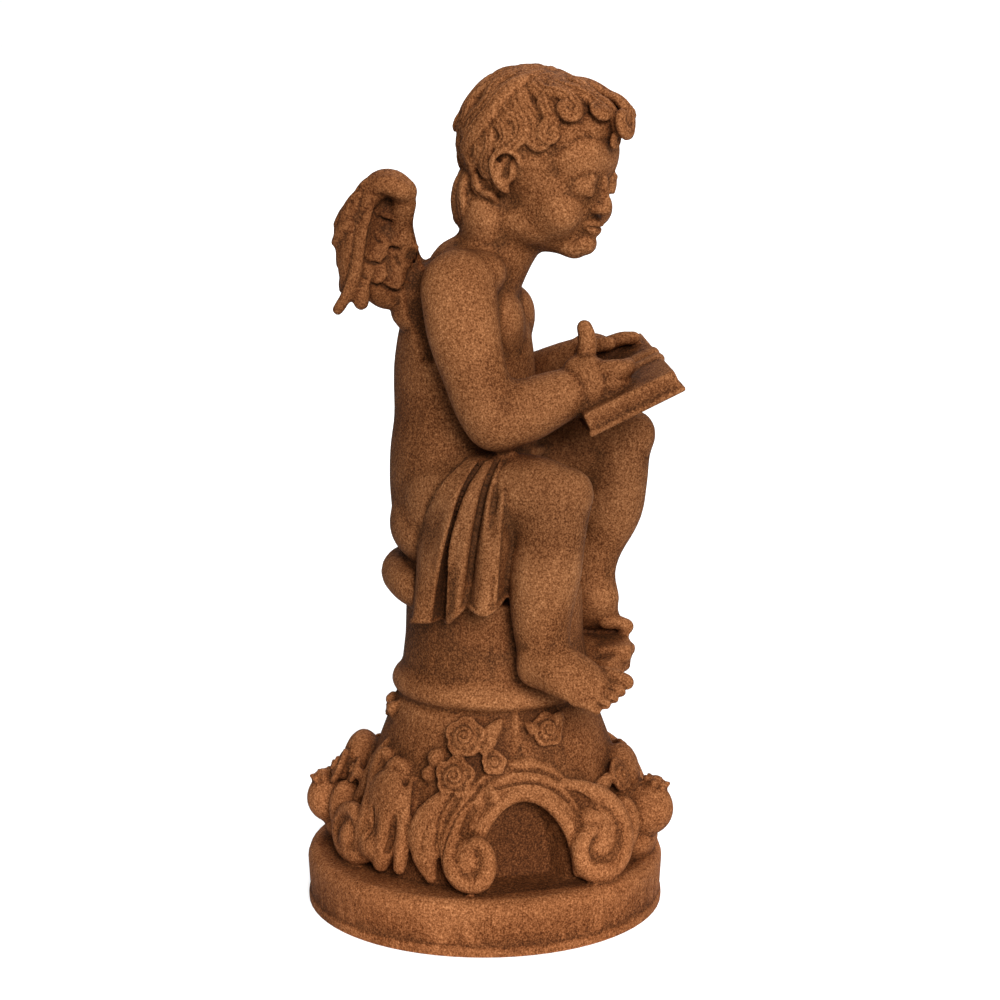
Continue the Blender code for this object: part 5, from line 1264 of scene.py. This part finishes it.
def wear_and_shade_masks():
    """Masks for rubbed edges, which also carry a painted highlight, and for crevices, which carry painted
    shade and dust, from the relief stored on the skin; and the stored occlusion for the painted shade.
    """
    tree, given, out = new_group("wear_and_shade_masks", [("Patch", "NodeSocketFloat", 0.5)],
                                 [("RubbedHighlight", "NodeSocketFloat"), ("Hollow", "NodeSocketFloat"),
                                  ("OccludedShade", "NodeSocketFloat")])
    edge = node(tree, "ShaderNodeAttribute", attribute_name="edge").outputs["Fac"]
    hollow = node(tree, "ShaderNodeAttribute", attribute_name="hollow").outputs["Fac"]
    # raised edges: rubbed wear with a painted highlight
    rubbed_highlight = past(tree, edge, 0.56, 2.2, True)
    tree.links.new(maths(tree, "MULTIPLY", rubbed_highlight, given["Patch"]), out["RubbedHighlight"])
    # crevices and creases: painted shade, and the dust below
    sunk = past(tree, 0.30, hollow, 1.4, True)
    creased = past(tree, 0.40, edge, 2.6, True)
    tree.links.new(maths(tree, "MAXIMUM", sunk, creased), out["Hollow"])
    # the stored occlusion, passed on for the painted shade
    tree.links.new(node(tree, "ShaderNodeAttribute", attribute_name="occluded_shade").outputs["Fac"],
                   out["OccludedShade"])
    return tree


def use_group(tree, group, **links):
    """Places a group and joins its inputs; gives back its outputs."""
    made = node(tree, "ShaderNodeGroup", node_tree=group)
    for name, source in links.items():
        tree.links.new(source, made.inputs[name])
    return made.outputs


RUST = (
    # place along the tone, then the colour, from the deepest pit to a rubbed speck
    (0.0, (0.0180, 0.0036, 0.0006)), (0.26, (0.067, 0.0188, 0.0040)), (0.50, (0.160, 0.0560, 0.0178)),
    (0.74, (0.290, 0.116, 0.043)), (1.0, (0.47, 0.215, 0.090)))
FULL_HEIGHT = 0.55  # metres
HEIGHT_TONE = (
    # share of the full height, then how light the rust is there
    (0.0, 0.98), (0.09, 1.0), (0.18, 0.86), (0.30, 0.84), (0.40, 0.76), (0.50, 0.60), (0.60, 0.70),
    (0.70, 0.80), (0.85, 0.82), (1.0, 1.0))
# the redder rust at the foot, and the tint of the painted shade where nearby forms close off the light
RED_FOOT, SHADE_TINT = (1.0, 0.84, 0.78, 1.0), (0.40, 0.29, 0.21, 1.0)
# the tint of the painted shade on the upper back, and the dust in crevices
BACK_SHADE_TINT, DUST = (0.70, 0.65, 0.60, 1.0), (0.13, 0.085, 0.04, 1.0)


def rusted_iron():
    """Brown rust with a golden speckle and faint dust; painted shade where nearby forms close it in, in
    crevices and on the upper back, and a painted highlight on raised edges.
    """
    material = bpy.data.materials.new("rusted_iron")
    material.use_nodes = True
    tree = material.node_tree
    shader = tree.nodes["Principled BSDF"]
    place = node(tree, "ShaderNodeTexCoord").outputs["Object"]
    grain = use_group(tree, cast_grain(), Vector=place)
    patch = noise(tree, place, 24.0, 3.0, 0.55)
    cloud = noise(tree, place, 8.0, 3.0, 0.5)
    masks = use_group(tree, wear_and_shade_masks(), Patch=patch)
    speckle = past(tree, grain["Tone"], 0.5, 1.75)
    mottle = maths(tree, "ADD", past(tree, patch, 0.5, 0.20), past(tree, cloud, 0.5, 0.24))
    # lighter on raised edges as rubbed wear with a painted highlight, darker in crevices as painted shade
    wear_and_painted_light = maths(tree, "SUBTRACT", maths(tree, "MULTIPLY", masks["RubbedHighlight"], 0.24),
                 maths(tree, "MULTIPLY", masks["Hollow"], 0.15))
    tone = maths(tree, "ADD", maths(tree, "ADD", speckle, mottle), maths(tree, "ADD", wear_and_painted_light, 0.5), True)
    rust = ramp(tree, tone, RUST)
    height = node(tree, "ShaderNodeSeparateXYZ")
    tree.links.new(place, height.inputs[0])
    low = past(tree, 0.20, height.outputs["Z"], 5.0, True)
    red = maths(tree, "MULTIPLY", low, cloud)
    rust = blend(tree, red, rust, RED_FOOT, "MULTIPLY")
    # the rust made lighter or darker in bands by height
    share = maths(tree, "MULTIPLY", height.outputs["Z"], 1 / FULL_HEIGHT, True)
    height_tone = ramp(tree, share, [(at, (grey, grey * 0.985, grey * 0.97)) for at, grey in HEIGHT_TONE])
    rust = blend(tree, 1.0, rust, height_tone, "MULTIPLY")
    # painted shade: darkens the colour where nearby forms close off the light, less near the foot
    shade_amount = past(tree, masks["OccludedShade"], 0.10, 1.12, True)
    shade_amount = maths(tree, "MULTIPLY", shade_amount, maths(tree, "SUBTRACT", 1.0, maths(tree, "MULTIPLY", low, 0.5)))
    rust = blend(tree, shade_amount, rust, SHADE_TINT, "MULTIPLY")
    # painted shade on the upper back, which faces away from the light
    behind = past(tree, height.outputs["Y"], 0.02, 28.0, True)
    above = past(tree, height.outputs["Z"], 0.28, 15.0, True)
    rust = blend(tree, maths(tree, "MULTIPLY", behind, above), rust, BACK_SHADE_TINT, "MULTIPLY")
    dust = maths(tree, "MULTIPLY", masks["Hollow"], maths(tree, "MULTIPLY", cloud, 0.12))
    rust = blend(tree, dust, rust, DUST)
    tree.links.new(rust, shader.inputs["Base Color"])
    rough = maths(tree, "ADD", maths(tree, "MULTIPLY", grain["Tone"], -0.30), 0.92, True)
    tree.links.new(rough, shader.inputs["Roughness"])
    shader.inputs["Metallic"].default_value = 0.0
    shader.inputs["Specular IOR Level"].default_value = 0.06
    bump = node(tree, "ShaderNodeBump", Strength=0.8, Distance=0.0010)
    tree.links.new(grain["Height"], bump.inputs["Height"])
    tree.links.new(bump.outputs[0], shader.inputs["Normal"])
    return material


def pale_floor():
    """A wide pale floor under the statue."""
    material = bpy.data.materials.new("pale_floor")
    material.use_nodes = True
    tree = material.node_tree
    shader = tree.nodes["Principled BSDF"]
    place = node(tree, "ShaderNodeTexCoord").outputs["Object"]
    tint = ramp(tree, noise(tree, place, 3.0), ((0.0, (0.64, 0.64, 0.64)), (1.0, (0.68, 0.68, 0.68))))
    tree.links.new(tint, shader.inputs["Base Color"])
    seen = node(tree, "ShaderNodeLightPath").outputs["Is Camera Ray"]
    shader.inputs["Emission Color"].default_value = (1.0, 1.0, 1.0, 1.0)
    tree.links.new(maths(tree, "MULTIPLY", seen, SEEN_FLOOR), shader.inputs["Emission Strength"])
    shader.inputs["Roughness"].default_value = 0.9
    bm = bmesh.new()
    bmesh.ops.create_grid(bm, x_segments=1, y_segments=1, size=60.0)
    mesh = bpy.data.meshes.new("floor")
    bm.to_mesh(mesh)
    bm.free()
    mesh.materials.append(material)
    floor = bpy.data.objects.new("floor", mesh)
    bpy.context.scene.collection.objects.link(floor)
    return floor


# ---------------------------------------------------------------- light and camera

def toward(azimuth, elevation=0.0):
    """The direction from the statue to something at that azimuth and height angle."""
    a, e = math.radians(azimuth), math.radians(elevation)
    return Vector((math.sin(a) * math.cos(e), -math.cos(a) * math.cos(e), math.sin(e)))


def soft_sun(name, azimuth, elevation, strength, spread):
    light = bpy.data.lights.new(name, "SUN")
    light.energy, light.angle = strength, math.radians(spread)
    lamp = bpy.data.objects.new(name, light)
    lamp.rotation_euler = toward(azimuth, elevation).to_track_quat("Z", "Y").to_euler()
    bpy.context.scene.collection.objects.link(lamp)


LIGHTS = (
    # name, angle to the right of the view, height angle, strength, softness
    ("key", 14, 24, 4.9, 24), ("side", 80, 35, 0.35, 40), ("rear", 168, 48, 1.5, 45))
SKY_LIGHT, SEEN_SKY, SEEN_FLOOR = 0.20, 0.82, 0.62


def studio():
    """Three soft lights and a white surround."""
    for name, turn, *rest in LIGHTS:
        soft_sun(name, VIEW_AZIMUTH + turn, *rest)
    world = bpy.data.worlds.new("studio")
    bpy.context.scene.world = world
    world.use_nodes = True
    tree = world.node_tree
    sky = tree.nodes["Background"]
    sky.inputs["Color"].default_value = (1.0, 1.0, 1.0, 1.0)
    seen = node(tree, "ShaderNodeLightPath").outputs["Is Camera Ray"]
    strength = maths(tree, "ADD", maths(tree, "MULTIPLY", seen, SEEN_SKY), SKY_LIGHT)
    tree.links.new(strength, sky.inputs["Strength"])
    bpy.context.scene.view_settings.view_transform = "Standard"


def camera():
    """Level with the figure's shoulders, looking down a little at its right side."""
    lens = bpy.data.cameras.new("camera")
    lens.lens, lens.sensor_width = VIEW_LENS, SENSOR_WIDTH
    eye = bpy.data.objects.new("camera", lens)
    side = Vector((math.cos(math.radians(VIEW_AZIMUTH)), math.sin(math.radians(VIEW_AZIMUTH)), 0))
    eye.location = toward(VIEW_AZIMUTH) * VIEW_DISTANCE + side * VIEW_SIDE + Vector((0, 0, VIEW_HEIGHT))
    eye.rotation_euler = toward(VIEW_AZIMUTH, VIEW_DROP).to_track_quat("Z", "Y").to_euler()
    bpy.context.scene.collection.objects.link(eye)
    bpy.context.scene.camera = eye


# degrees, with the lens in millimetres; then metres
VIEW_AZIMUTH, VIEW_DROP, VIEW_LENS, SENSOR_WIDTH = -80.0, 11.395, 84.47, 36.0
VIEW_DISTANCE, VIEW_SIDE, VIEW_HEIGHT = 1.5, 0.0101, 0.5706

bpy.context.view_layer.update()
pale_floor()
camera()
studio()
skin_mesh = statue_mesh(CELLS, ROUNDS, TRIANGLES)
mark_relief(skin_mesh)
mark_painted_shade(skin_mesh)
skin_mesh.transform(Matrix.Scale(0.001, 4))
skin_mesh.shade_smooth()
skin_mesh.materials.clear()
skin_mesh.materials.append(rusted_iron())
statue = bpy.data.objects.new("cast_statue", skin_mesh)
bpy.context.scene.collection.objects.link(statue)
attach(statue, "root")
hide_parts("angel_statue")
